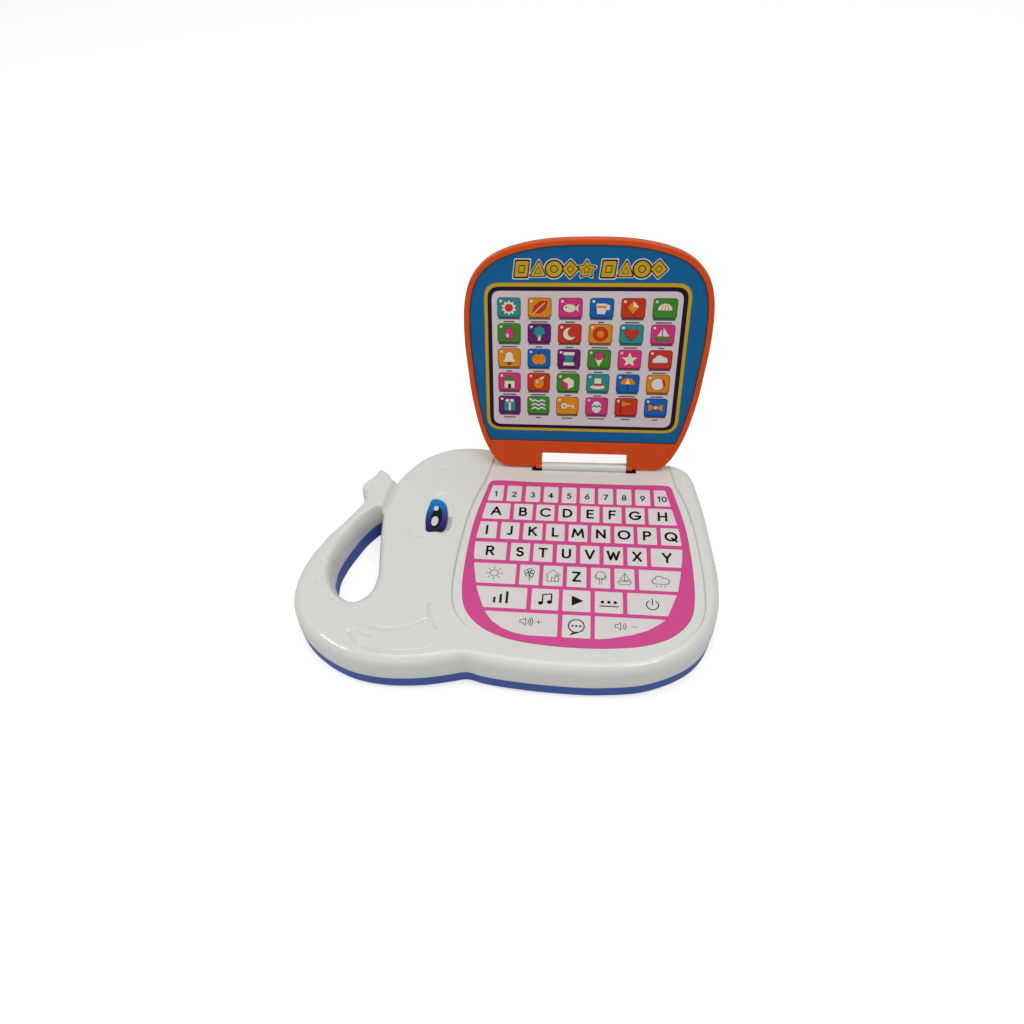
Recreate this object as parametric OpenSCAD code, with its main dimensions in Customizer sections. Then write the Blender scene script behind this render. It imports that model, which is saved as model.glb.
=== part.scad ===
// Toy laptop in the shape of an elephant's head: a hollow two-shell base whose trunk is the
// handle, a membrane keypad in a recess, and a picture lid on two pinned ears at the back.
// Origin: on the flat underside, beneath the middle of the keypad. +X right, +Y to the hinge.

/* [Base shells] */
// Thickness of the closed base, without the lid
body_h = 26; // [25:0.5:30]
// Height of the joint line between the blue and the white shell
parting_z = 10; // [9.5:0.5:11]
// Wall thickness of both shells
wall = 2; // [1.6:0.1:2.4]
// Thickness of the recess floor that carries the keypad
deck_t = 2.4; // [2:0.1:2.8]
// How far the top edge of the white shell rolls down
top_drop = 6; // [4:0.5:7]
// How far the bottom edge of the blue shell rolls up
bottom_drop = 3; // [2:0.5:4]
// How far the blue shell stands back from the white one
bottom_inset = 0.6; // [0.3:0.1:1]
// Depth of the recess round the keypad, under the closed lid
recess_depth = 1.5; // [1:0.1:2]
// Depth of the shallow socket beside the eye
eye_socket_depth = 0.4; // [0.2:0.1:0.8]

/* [Lid] */
// Opening angle of the lid as it stands, from closed
lid_open = 101.9; // [95:0.1:108]
// Thickness of the lid
lid_t = 9; // [8.5:0.5:11]
// Thickness of the front frame of the lid
frame_t = 3; // [2.8:0.1:3.4]
// Wall of the lid's back cover
cover_wall = 1.8; // [1.4:0.1:2.2]
// How far the lid cover's edge is rounded
cover_round = 4; // [2.5:0.5:4.5]
// Rounding of the frame's front edge
frame_round = 1; // [0.6:0.1:1.2]
// Width of the raised rim round the picture sheet
rim_w = 3.4; // [3:0.2:5]
// Height of the plain band between the hinge and the picture sheet
band_h = 18.5; // [18:0.5:24]
// Depth of the picture sheet below the rim
sheet_drop = 1; // [0.6:0.1:1.2]
// Thickness of the picture sheet
sheet_t = 0.5; // [0.3:0.1:0.8]
// Gap between the closed lid and the top of the base
lid_gap = 0.3; // [0.3:0.1:0.6]
// Sideways offset of the lid from the middle of the keypad
lid_x = 0.2; // [0:0.2:2]
// How far past upright the lid's rounded foot lets it lean
foot_angle = 20; // [19:1:26]

/* [Hinge] */
// Width of the notch in the lid's lower edge
notch_w = 55.5; // [44:0.5:58]
// Height of the notch in the lid's lower edge
notch_h = 9.8; // [8.5:0.1:12]
// Sideways offset of the hinge from the middle of the base
hinge_x = 2.6; // [0:0.2:4]
// Radius of the hinge barrel on the base
barrel_r = 2.5; // [2.4:0.1:2.8]
// Radius of the lid's two knuckles
knuckle_r = 2.1; // [2:0.1:2.3]
// Width of each knuckle
knuckle_w = 3.6; // [3:0.2:4.4]
// Width of the slot that each knuckle turns in
slot_w = 6.6; // [6:0.2:11]
// Side gap between the barrel and a knuckle
knuckle_gap = 0.3; // [0.2:0.1:0.6]
// Clearance round a knuckle in its slot
slot_gap = 0.6; // [0.4:0.1:0.7]
// Radius of each hinge pin
pin_r = 1; // [0.8:0.1:1.1]
// Radial running clearance of the pins in the knuckles
pin_fit = 0.06; // [0.03:0.01:0.1]

/* [Keypad] */
// Thickness of the printed overlay film
overlay_t = 0.3; // [0.2:0.05:0.4]
// Height of the embossed keys on the overlay
emboss_h = 0.12; // [0.08:0.02:0.2]
// Thickness of each of the three switch films
film_t = 0.15; // [0.1:0.05:0.2]
// Gap between two keys
key_gap = 2.3; // [1.5:0.1:3]
// Radius of the spacer film's hole under each key
spacer_hole_r = 3.6; // [2.5:0.1:4]
// Width of the flat tail of the circuit film
tail_w = 14; // [10:1:18]

/* [Electronics] */
// Length of the main board
board_x = 52; // [46:1:56]
// Width of the main board
board_y = 34; // [30:1:36]
// Thickness of the main board
board_t = 1.6; // [1:0.2:1.6]
// Gap between the deck's underside and the main board
board_drop = 7.5; // [7:0.5:9]
// Radius of the speaker
speaker_r = 20; // [16:0.5:20]
// Depth of the speaker's basket
basket_h = 7; // [6:0.5:8]
// Thickness of the speaker's magnet
magnet_h = 4; // [3:0.5:5]
// Radius of each insulated wire
wire_r = 0.55; // [0.4:0.05:0.7]

/* [Batteries] */
// Diameter of a battery cell
cell_d = 14.2; // [13.5:0.1:14.5]
// Length of a battery cell with its nub
cell_len = 50.5; // [49:0.5:51]
// Distance between the axes of two cells
cell_pitch = 14.8; // [14.6:0.1:15.5]
// Length of a contact spring under load
spring_len = 6.2; // [5:0.2:8]
// Wall of the battery bay
bay_wall = 1.6; // [1.4:0.1:2]
// Thickness of the battery door
door_t = 2; // [1.8:0.1:2.4]

/* [Fasteners] */
// Radius of the shank of a shell screw
screw_r = 1.3; // [1.1:0.1:1.4]
// Radius of the head of a shell screw
screw_head_r = 2.6; // [2.3:0.1:2.8]
// Radius of the screw bosses
boss_r = 3.5; // [3.3:0.1:4]

/* [Hidden] */
$fn = 40;
eps = 0.01;          // overshoot of a cut past the face it opens
fit = 0.05;          // radial play of a screw shank in its hole
seat = 0.15;         // play of a sheet in its pocket

// Outline of the base, anticlockwise from the front: x, y and the width of the rolled edge.
body_points = [[15, -85, 5.5], [42, -80, 5.5], [66, -65.2, 5.5], [78, -43, 5.5],
    [81.6, -18, 5.5], [79.9, 15, 5.5], [76.2, 50, 5.5], [70, 75, 5.5], [57, 82.3, 5.5],
    [10, 82.6, 5.5], [-40, 84, 5.5], [-56, 91.5, 6], [-73, 94, 7], [-90, 91.3, 7],
    [-105, 82.3, 7], [-115, 69.5, 6], [-121.3, 57.8, 3.2], [-128.3, 65.4, 1.2],
    [-134.1, 67.8, 0.8], [-137.2, 60.8, 1.6], [-142.2, 54.4, 1.8], [-143.5, 49.8, 1.8],
    [-139.8, 44.2, 2], [-139.6, 39, 4], [-147.4, 23.6, 6.5], [-157, 6.6, 6.5],
    [-164.6, -12.4, 6.5], [-167.6, -30, 6.5], [-165.3, -48, 6.5], [-156.3, -63.4, 6.5],
    [-142, -75.8, 6.5], [-125, -84, 6.5], [-106, -87, 6.5], [-84, -85.6, 6.5],
    [-68, -82, 5.5], [-59.5, -80, 4], [-51, -82, 5.5], [-34, -84.2, 5.5], [-10, -85.5, 5.5]];
// Points of the trunk's two lips, which are solid: the hollow inside skips them.
lip_points = [17, 22];
// Outline of the handle's hole: x, y and the width of its rolled edge.
hole_points = [[-119.3, -24, 6], [-121.3, -6, 6], [-123.7, 12, 5], [-125.8, 30, 3],
    [-127.6, 32, 2.5], [-135.5, 22.5, 5], [-142, 8, 6.5], [-146, -4, 6.5], [-147.7, -15, 6.5],
    [-145.6, -28, 6.5], [-138, -39.5, 6.5], [-129, -43.2, 6.5], [-121.8, -37.5, 6]];
// Right half of the closed lid's outline: x and y from the hinge axis, tip first.
lid_half = [[21.7, -149.1], [36.5, -146.9], [46.8, -144.1], [54.2, -141], [60.4, -137],
    [65.8, -131.5], [69.4, -125.9], [71.8, -119], [73.3, -111], [74, -99], [73.7, -84],
    [72.5, -70], [71.1, -55], [69.1, -42], [67.1, -32], [65, -24], [63, -18],
    [60.5, -12], [57.5, -6.2], [53, -1], [46, 1.9], [30, 1.9]];
// Right half of the recess round the keypad, as far as its open rear, tip first.
recess_half = [[22, -72.1], [37, -70.2], [47.1, -67.4], [54.4, -63.9], [60.4, -59.8],
    [65.4, -54.6], [68.9, -49.4], [71.2, -43.3], [72.5, -35.3], [73, -23.4], [72.7, -8.4],
    [71.8, 5.6], [70.4, 20.7], [68.5, 33.7], [66.4, 43.7], [64.2, 51.8], [62, 58],
    [60.6, 66], [58.6, 76], [54, 100]];
// Right half of the keypad's outline, front first.
keypad_half = [[20, -68.8], [38, -65.8], [52, -59.6], [60.4, -51.6], [64.9, -43], [67, -30],
    [67.4, -12], [66.9, 4], [65.5, 22], [63, 38], [60.5, 50], [58.5, 59], [56.7, 60.6],
    [30, 60.6]];
lid_tip_y = -149.8;
recess_tip_y = -72.9;
keypad_tip_y = -69.7;
// Outline of the block of keys.
key_area_points = [[-9.6, -63.9], [8.3, -63.6], [18.9, -62], [31, -58.9], [40.1, -55],
    [46.2, -50.6], [50.4, -46.8], [57.6, -27.5], [60.3, -12], [61.8, 0], [62.2, 7],
    [61.1, 21.5], [57.9, 39], [54.5, 57], [-56.1, 57], [-59, 39.5], [-61.1, 22.6],
    [-62.8, 7], [-62.4, -5], [-61.4, -13.5], [-58.4, -30], [-52.4, -46.8], [-47, -54.2],
    [-41.2, -58.6], [-34.1, -61.6], [-23.5, -63.4]];
// Rows of keys: upper edge, height, number of whole keys, their width.
key_rows = [[56.3, 14.3, 8, 9.4], [39.8, 14.1, 6, 11.7], [23.2, 14.2, 7, 11.7],
    [6.2, 14.3, 6, 11.7], [-11.1, 15.5, 5, 11.6], [-29.1, 15.5, 3, 15.8],
    [-47.2, 15.7, 1, 15.8]];
// Outline of the eye sticker and of the shallow socket that shows beside it.
eye_points = [[-93.5, 11.5], [-88.7, 11.6], [-83.8, 12.1], [-82.7, 15.4], [-82.3, 19.4],
    [-83.1, 28.1], [-85.3, 35.4], [-88.3, 38.4], [-91.7, 39.3], [-93.7, 38.6], [-95, 32.4],
    [-95.6, 26.1], [-95.5, 20.8], [-94.8, 16.5]];
socket_points = [[-88, 12], [-79.4, 12.4], [-78.5, 22], [-79.1, 32], [-81.2, 39.8],
    [-85.2, 44.7], [-89.9, 45.6], [-93.4, 42.4], [-93.6, 37.4], [-88, 30]];
shell_screw_spots = [[62, -58], [66, 62], [-44, -74], [-106, -76], [-155, -45],
    [-100, 76], [-6, 75], [-131.5, 52], [-54, 22]];

block = 200;         // side of a cutting block, larger than the lid
floor_z = body_h - recess_depth;
deck_z = floor_z - deck_t;
head_t = wall + 0.2;
axis_y = 74.3;
axis_z = body_h + lid_gap;
foot_drop = axis_z - floor_z - 0.4;
barrel_w = notch_w - 2 * knuckle_gap;
knuckle_x = (notch_w + knuckle_w) / 2;
pin_in = 7;          // how much of a pin is pressed into the barrel
pin_len = pin_in + knuckle_gap + knuckle_w - 0.3;
pocket_depth = overlay_t + 3 * film_t;
step_angle = 90 / 4;
body_centre = [-110, 20];
hole_centre = [-133, -12];
lid_centre = [0, -75];
groove_half = 2;
groove_depth = 3.4;
groove_from = [-120.6, 61];
groove_to = [-125.6, 27];

bay_x = cell_len + spring_len + 2 * 0.4;
bay_y = 3 * cell_pitch + 0.6;
bay_c = [0, -38];
bay_floor_z = door_t + 0.2;
cell_z = bay_floor_z + 0.15 + cell_d / 2;
bay_top_z = cell_z + cell_d / 2 + 0.4;
plate_t = 0.4;
door_lap = 3;
door_screw_lap = 7.5;
door_play = 0.3;
door_front_y = bay_c[1] - bay_y / 2 - door_lap;
door_back_y = bay_c[1] + bay_y / 2 + door_screw_lap;
door_w = bay_x + 2 * door_lap;
door_screw_y = door_back_y - 4;

board_c = [36, 30];
board_top_z = deck_z - board_drop;
board_z = board_top_z - board_t;
board_screw_r = 1;
board_screw_inset = 3.5;
tail_y = board_c[1] + board_y / 2 + 1.7;
tail_lap = 7;
clamp_w = tail_w + 8;

speaker_c = [-92, -14];
gasket_t = 0.8;
flange_t = 1;
speaker_z = wall + 0.2;
flange_z = speaker_z + gasket_t;
speaker_screw_ring = speaker_r + 2.6;

speaker_pilot_r = 0.9;
magnet_r = 11;
door_screw_r = 1.2;
clamp_screw_r = 0.8;
head_seat_z = 4;
screw_reach = 17;
spring_wire = 0.45;

// Routes of the wires, from the contact or terminal to the board.
contact_x = bay_x / 2;
contact_z = cell_z + 2.55;
red_y = bay_c[1] - cell_pitch;
black_y = bay_c[1] + cell_pitch;
run_z = board_z - 4;
pad_y = board_c[1] - board_y / 2 + 5;
red_points = [[contact_x, red_y, contact_z], [contact_x + 3.2, red_y, contact_z],
    [contact_x + 6.2, red_y + 1.8, contact_z], [contact_x + 8.2, red_y + 5.8, contact_z - 0.5],
    [contact_x + 8.2, red_y + 22.8, run_z + 1], [contact_x + 8.2, red_y + 52.8, run_z],
    [board_c[0] + 0.5, pad_y - 6, run_z], [board_c[0], pad_y - 1.5, board_z - 3],
    [board_c[0], pad_y, board_z - 1.7], [board_c[0], pad_y + 0.2, board_z - 0.1]];
black_points = [[-contact_x, black_y, contact_z], [-contact_x - 2.7, black_y, contact_z],
    [-contact_x - 4.7, black_y + 1.7, contact_z], [-contact_x - 4.7, black_y + 7.2, contact_z - 1],
    [-contact_x + 0.8, black_y + 17.2, run_z + 1], [-10, black_y + 24.2, run_z],
    [12, black_y + 29.2, run_z], [board_c[0] - 10, pad_y - 7, run_z],
    [board_c[0] - 6, pad_y - 2.5, board_z - 3], [board_c[0] - 5, pad_y - 0.5, board_z - 1.7],
    [board_c[0] - 5, pad_y - 0.2, board_z - 0.1]];
terminal_r = (speaker_r - 2 + magnet_r) / 2 + 0.9;
terminal_z = flange_z + (flange_t + basket_h) / 2 + 0.2;
terminal_x = speaker_c[0] + terminal_r;
lead_x = board_c[0] - board_x / 2 + 7;
function speaker_lead(side, y_end) = [[terminal_x, speaker_c[1] + 1.5 * side, terminal_z],
    [terminal_x + 4, speaker_c[1] + 1.5 * side + 1, terminal_z + 0.8],
    [speaker_c[0] + 27, speaker_c[1] + 5.5 + 1.5 * side, run_z],
    [speaker_c[0] + 43, speaker_c[1] + 20 + 2 * side, run_z],
    [speaker_c[0] + 65, speaker_c[1] + 32 + 2 * side, run_z],
    [0, y_end - 2, run_z], [lead_x - 5, y_end - 0.5, run_z + 0.5],
    [lead_x - 1, y_end - 0.2, board_z - 2.5], [lead_x, y_end, board_z - 0.1]];
speaker_red_points = speaker_lead(1, board_c[1] - 3);
speaker_black_points = speaker_lead(-1, board_c[1] - 7.5);

function flat(p) = [p[0], p[1]];
function knot(t, a, b) = t + sqrt(norm(flat(b) - flat(a)));
function mix(a, b, ta, tb, t) = ((tb - t) * a + (t - ta) * b) / (tb - ta);
// One point on the span p1..p2 of a centripetal spline through p0, p1, p2 and p3.
function span_point(p0, p1, p2, p3, u) =
    let (t1 = knot(0, p0, p1), t2 = knot(t1, p1, p2), t3 = knot(t2, p2, p3))
    let (t = t1 + u * (t2 - t1))
    let (a = mix(p0, p1, 0, t1, t), b = mix(p1, p2, t1, t2, t), c = mix(p2, p3, t2, t3, t))
    mix(mix(a, b, 0, t2, t), mix(b, c, t1, t3, t), t1, t2, t);
function smooth_loop(pts, steps) =
    let (n = len(pts))
    [for (i = [0 : n - 1], j = [0 : steps - 1])
        span_point(pts[(i + n - 1) % n], pts[i], pts[(i + 1) % n], pts[(i + 2) % n], j / steps)];
// Right half plus its mirror image, anticlockwise from the tip on the centre line.
function both_halves(half, tip_y) =
    concat([[0, tip_y]], half, [for (i = [len(half) - 1 : -1 : 0]) [-half[i][0], half[i][1]]]);
function edge_width(p) = len(p) > 2 ? p[2] : 0;
function inward(loop, i) =
    let (n = len(loop), t = flat(loop[(i + 1) % n]) - flat(loop[(i + n - 1) % n]))
    [-t[1], t[0]] / norm(t);
// The loop moved inwards by a fixed distance, plus a share of each point's own edge width.
function moved_in(loop, d, share = 0) =
    [for (i = [0 : len(loop) - 1])
        flat(loop[i]) + inward(loop, i) * (d + share * edge_width(loop[i]))];
function with_width(loop, w) = [for (p = loop) [p[0], p[1], w]];
function capped(loop, w) = [for (p = loop) [p[0], p[1], min(p[2], w)]];

body_loop = smooth_loop(body_points, 3);
hollow_loop = smooth_loop([for (i = [0 : len(body_points) - 1])
    if (i < lip_points[0] || i > lip_points[1]) body_points[i]], 3);
hole_loop = smooth_loop(hole_points, 4);
lid_loop = [for (p = smooth_loop(both_halves(lid_half, lid_tip_y), 3)) [p[0] + lid_x, p[1]]];
recess_outline = both_halves(recess_half, recess_tip_y);
keypad_loop = smooth_loop(both_halves(keypad_half, keypad_tip_y), 3);
eye_loop = smooth_loop(eye_points, 4);
socket_loop = smooth_loop(socket_points, 4);

// A solid skinned over level rings of points, listed from the lowest to the highest. Its
// two flat ends are fans about the given centre, from which each whole outline can be seen.
module skinned(rings, heights, centre) {
    n = len(rings[0]);
    m = len(rings);
    points = concat([for (k = [0 : m - 1], p = rings[k]) [p[0], p[1], heights[k]]],
        [[centre[0], centre[1], heights[0]], [centre[0], centre[1], heights[m - 1]]]);
    sides = [for (k = [0 : m - 2], i = [0 : n - 1], half = [0, 1])
        let (a = k * n + i, b = k * n + (i + 1) % n)
        half == 0 ? [a, a + n, b] : [b, a + n, b + n]];
    under = [for (i = [0 : n - 1]) [m * n, i, (i + 1) % n]];
    over = [for (i = [0 : n - 1]) [m * n + 1, (m - 1) * n + (i + 1) % n, (m - 1) * n + i]];
    polyhedron(points = points, faces = concat(under, sides, over));
}

// A slab with a flat wall up to z_top - drop and a rolled edge above it.
module rolled_top(loop, centre, z_low, z_top, drop, base_in = 0) {
    angles = [for (a = [0 : step_angle : 90]) a];
    rings = concat([moved_in(loop, base_in)],
        [for (a = angles) moved_in(loop, base_in, 1 - cos(a))]);
    heights = concat([z_low], [for (a = angles) z_top - drop * (1 - sin(a))]);
    skinned(rings, heights, centre);
}

module rolled_bottom(loop, centre, z_low, z_top, drop, base_in = 0) {
    translate([0, 0, z_low + z_top]) mirror([0, 0, 1])
        rolled_top(loop, centre, z_low, z_top, drop, base_in);
}

// The handle's hole, grown outwards, and widening at the top by the rolled edge round it.
module hole_cut(z_low, z_top, drop, grow = 0) {
    angles = [for (a = [0 : step_angle : 90]) a];
    rings = concat([moved_in(hole_loop, -grow)],
        [for (a = angles) moved_in(hole_loop, -grow, cos(a) - 1)],
        [moved_in(hole_loop, -grow, -1)]);
    heights = concat([z_low], [for (a = angles) z_top - drop * (1 - sin(a))], [z_top + 1]);
    skinned(rings, heights, hole_centre);
}

module straight_hole(z_low, z_top, grow = 0) {
    translate([0, 0, z_low]) linear_extrude(z_top - z_low) polygon(moved_in(hole_loop, -grow));
}

module recess_plan() {
    polygon(recess_outline);
}

module keypad_plan(inset) {
    polygon(moved_in(keypad_loop, inset));
}

// Draws in the closed lid's own frame and swings the result open.
module on_lid() {
    translate([0, axis_y, axis_z]) rotate([-lid_open, 0, 0]) children();
}

module on_axis(x) {
    translate([hinge_x + x, axis_y, axis_z]) children();
}

module x_rod(r, length) {
    rotate([0, 90, 0]) cylinder(r = r, h = length, center = true);
}

module at_both_sides() {
    for (side = [-1, 1]) translate([hinge_x + side * knuckle_x, 0, 0]) children();
}

module at_shell_screws() {
    for (p = shell_screw_spots) translate([p[0], p[1], 0]) children();
}

// A screw with the underside of its head at z = 0.
module screw(shank_r, head_r, head_h, length) {
    rotate_extrude() polygon([[0, -head_h], [head_r, -head_h], [head_r, 0], [shank_r, 0],
        [shank_r, length], [0, length]]);
}

module groove_cut() {
    run = groove_to - groove_from;
    translate([groove_from[0], groove_from[1], body_h])
        rotate([90, 0, atan2(run[1], run[0]) + 90])
        linear_extrude(norm(run)) polygon([[-groove_half - 0.7, 1], [0, -groove_depth],
            [groove_half + 0.7, 1]]);
}

// The floor left solid under the groove.
module groove_bed() {
    run = groove_to - groove_from;
    translate([groove_from[0], groove_from[1], 0])
        rotate([0, 0, atan2(run[1], run[0])])
        translate([-2, -groove_half - wall, body_h - groove_depth - wall])
        cube([norm(run) + 4, 2 * (groove_half + wall), groove_depth + wall]);
}

// Hollow of the white shell, below the head's top wall.
module top_hollow() {
    difference() {
        rolled_top(hollow_loop, body_centre, parting_z - 1, body_h - head_t, top_drop, wall);
        hole_cut(parting_z - 2, body_h - head_t, top_drop, wall);
        translate([0, 0, deck_z]) linear_extrude(body_h) offset_recess();
        groove_bed();
        at_shell_screws() cylinder(r = boss_r, h = body_h);
        at_board_screws() translate([0, 0, board_top_z]) cylinder(r = 2.6, h = board_drop + 1);
        barrel_bed();
    }
}

// The deck under the recess reaches one wall past the recess's edge.
module offset_recess() {
    polygon(moved_in(recess_outline, -wall));
}

// Solid round the knuckle slots, so that they do not open into the hollow.
module barrel_bed() {
    slot_z = axis_z - knuckle_r - slot_gap;
    translate([hinge_x, axis_y, slot_z - wall + body_h / 2])
        cube([notch_w + 2 * (slot_w + wall), 2 * (barrel_r + slot_gap + wall),
            body_h], center = true);
}

module knuckle_slots() {
    slot_r = knuckle_r + slot_gap;
    for (side = [-1, 1]) on_axis(side * ((notch_w + slot_w) / 2 - knuckle_gap)) {
        x_rod(slot_r, slot_w);
        translate([0, 0, slot_r / 2]) cube([slot_w, 2 * slot_r, slot_r], center = true);
    }
}

module at_board_screws() {
    for (sx = [-1, 1], sy = [-1, 1])
        translate([board_c[0] + sx * (board_x / 2 - board_screw_inset),
            board_c[1] + sy * (board_y / 2 - board_screw_inset), 0]) children();
}

module tail_slot(grow) {
    translate([board_c[0], tail_y, deck_z])
        cube([tail_w + 2 * grow, 3 * film_t + 2 * grow, 2 * deck_t + 2], center = true);
}

module top_shell() color("white") difference() {
    union() {
        difference() {
            rolled_top(body_loop, body_centre, parting_z, body_h, top_drop);
            top_hollow();
            hole_cut(parting_z - 1, body_h, top_drop);
            groove_cut();
            translate([0, 0, floor_z]) linear_extrude(body_h) recess_plan();
            translate([0, 0, floor_z - pocket_depth]) linear_extrude(body_h) keypad_plan(-seat);
            tail_slot(0.4);
            knuckle_slots();
            translate([0, 0, body_h - eye_socket_depth]) linear_extrude(body_h)
                polygon(moved_in(socket_loop, 0));
        }
        on_axis(0) x_rod(barrel_r, barrel_w);
    }
    for (side = [-1, 1]) on_axis(side * (barrel_w / 2 - pin_in / 2)) x_rod(pin_r, pin_in + eps);
    at_shell_screws() translate([0, 0, parting_z - 1])
        cylinder(r = screw_r, h = screw_reach - parting_z + 2);
    at_board_screws() translate([0, 0, board_top_z - 1]) cylinder(r = board_screw_r, h = 6);
}

module bottom_hollow() {
    difference() {
        rolled_bottom(capped(hollow_loop, bottom_drop), body_centre, wall, parting_z + 1,
            bottom_drop, bottom_inset + wall);
        straight_hole(0, body_h, wall);
        at_shell_screws() cylinder(r = boss_r + 0.4, h = body_h);
        bay_block();
        at_speaker_screws() cylinder(r = 2.3, h = flange_z + flange_t);
        gasket_ring(wall - 1, speaker_r + 1.5, speaker_r + 0.2, 2.2);
    }
}

module gasket_ring(z, outer, inner, h) {
    translate([speaker_c[0], speaker_c[1], z]) difference() {
        cylinder(r = outer, h = h);
        translate([0, 0, -1]) cylinder(r = inner, h = h + 2);
    }
}

module at_speaker_screws() {
    for (a = [45 : 90 : 315]) translate([speaker_c[0] + speaker_screw_ring * cos(a),
        speaker_c[1] + speaker_screw_ring * sin(a), 0]) children();
}

// The bay's walls and roof, and the ledge that the door closes on.
module bay_block() {
    translate([bay_c[0] - bay_x / 2 - bay_wall, bay_c[1] - bay_y / 2 - bay_wall, 0])
        cube([bay_x + 2 * bay_wall, bay_y + 2 * bay_wall, bay_top_z + bay_wall]);
    translate([-door_w / 2 - bay_wall, door_front_y - bay_wall, 0])
        cube([door_w + 2 * bay_wall, door_back_y - door_front_y + 2 * bay_wall,
            bay_floor_z + bay_wall]);
    translate([0, door_screw_y, 0]) cylinder(r = 3.2, h = bay_floor_z + 8);
}

module bay_cut() {
    translate([bay_c[0] - bay_x / 2, bay_c[1] - bay_y / 2, -1])
        cube([bay_x, bay_y, bay_top_z + 1]);
    translate([-door_w / 2 - door_play, door_front_y - door_play, -1])
        cube([door_w + 2 * door_play, door_back_y - door_front_y + 2 * door_play,
            bay_floor_z + 1]);
    translate([0, door_screw_y, 0]) cylinder(r = door_screw_r, h = bay_floor_z + 7);
}

module bottom_shell() color("royalblue") difference() {
    union() {
        difference() {
            rolled_bottom(capped(body_loop, bottom_drop), body_centre, 0, parting_z,
                bottom_drop, bottom_inset);
            bottom_hollow();
        }
        bay_block();
    }
    straight_hole(-1, body_h);
    bay_cut();
    wire_holes();
    at_shell_screws() {
        translate([0, 0, -1]) cylinder(r = screw_head_r + 0.4, h = head_seat_z + 1);
        cylinder(r = screw_r + 0.3, h = body_h);
    }
    at_speaker_screws() translate([0, 0, wall - 1]) cylinder(r = speaker_pilot_r, h = 10);
    translate([speaker_c[0], speaker_c[1], -1]) grille_holes();
}

module grille_holes() {
    for (ring = [0 : 3]) for (i = [0 : max(1, 6 * ring) - 1])
        rotate([0, 0, i * 60 / max(1, ring)]) translate([ring * 4.2, 0, 0])
        cylinder(r = 1.3, h = wall + 2, $fn = 24);
}

module wire_holes() {
    for (p = [red_points[0], black_points[0]])
        translate([sign(p[0]) * (bay_x / 2 - 1), p[1], p[2]]) rotate([0, sign(p[0]) * 90, 0])
        cylinder(r = wire_r + fit, h = bay_wall + 2);
}

module eye_sticker() color("lightgray") translate([0, 0, body_h])
    linear_extrude(0.2) polygon(moved_in(eye_loop, 0));

// ---- keypad ----

// Plan of the key in this row from one x to the other, cut to the overlay's border.
module key_plan(row, x0, x1) {
    r = key_rows[row];
    translate([x0, r[0] - r[1]]) square([x1 - x0, r[1]]);
}

function row_pitch(row) = key_rows[row][3] + key_gap;
function row_left(row) = -row_pitch(row) * key_rows[row][2] / 2 + key_gap / 2;

module key_boxes(row) {
    n = key_rows[row][2];
    left = row_left(row);
    for (i = [0 : n - 1])
        key_plan(row, left + i * row_pitch(row), left + i * row_pitch(row) + key_rows[row][3]);
    key_plan(row, left + n * row_pitch(row), -keypad_tip_y);
    key_plan(row, keypad_tip_y, left - key_gap);
}

module keypad_overlay() color("hotpink") {
    z = floor_z - overlay_t;
    translate([0, 0, z]) linear_extrude(overlay_t) keypad_plan(0);
    translate([0, 0, floor_z - eps]) linear_extrude(emboss_h + eps) intersection() {
        polygon(key_area_points);
        for (row = [0 : len(key_rows) - 1]) key_boxes(row);
    }
}

module contact_film() color("gainsboro")
    translate([0, 0, floor_z - overlay_t - film_t]) linear_extrude(film_t) keypad_plan(0);

module spacer_film() color("white")
    translate([0, 0, floor_z - overlay_t - 2 * film_t]) linear_extrude(film_t) difference() {
        keypad_plan(0);
        for (row = [0 : len(key_rows) - 1]) for (i = [0 : key_rows[row][2] - 1])
            translate([row_left(row) + i * row_pitch(row) + key_rows[row][3] / 2,
                key_rows[row][0] - key_rows[row][1] / 2]) circle(r = spacer_hole_r, $fn = 24);
    }

module circuit_film() color("silver") {
    z = floor_z - pocket_depth;
    translate([0, 0, z]) linear_extrude(film_t) keypad_plan(0);
    translate([board_c[0] - tail_w / 2, tail_y - film_t / 2, board_top_z])
        cube([tail_w, film_t, z - board_top_z + film_t]);
    translate([board_c[0] - tail_w / 2, tail_y - tail_lap, board_top_z])
        cube([tail_w, tail_lap, film_t]);
}

module at_clamp_screws() {
    for (side = [-1, 1]) translate([board_c[0] + side * (tail_w / 2 + 2.2),
        tail_y - tail_lap + 2.2, 0]) children();
}

module tail_clamp() color("dimgray") difference() {
    translate([board_c[0] - clamp_w / 2, tail_y - tail_lap + 0.2, board_top_z + film_t])
        cube([clamp_w, 4, 1.6]);
    at_clamp_screws() translate([0, 0, board_z]) cylinder(r = clamp_screw_r, h = 8);
}

module tail_clamp_screws() color("silver") at_clamp_screws()
    translate([0, 0, board_top_z + film_t + 1.6]) mirror([0, 0, 1])
        screw(clamp_screw_r, 1.7, 1, film_t + 1.6 + board_t);

// ---- electronics ----

module main_board() color("darkgreen") difference() {
    translate([board_c[0] - board_x / 2, board_c[1] - board_y / 2, board_z])
        cube([board_x, board_y, board_t]);
    at_board_screws() translate([0, 0, board_z - 1]) cylinder(r = board_screw_r + 0.2, h = 6);
    at_clamp_screws() translate([0, 0, board_z - 1]) cylinder(r = clamp_screw_r, h = 6);
}

module board_screws() color("silver") at_board_screws() translate([0, 0, board_z])
    screw(board_screw_r, 2, 1.2, board_t + 5);

module sound_chip() color("black") translate([board_c[0] - 6, board_c[1], board_z])
    rotate_extrude() polygon([[0, 0], [7, 0], [6.3, -0.9], [4.5, -1.5], [0, -1.9]]);

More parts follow.
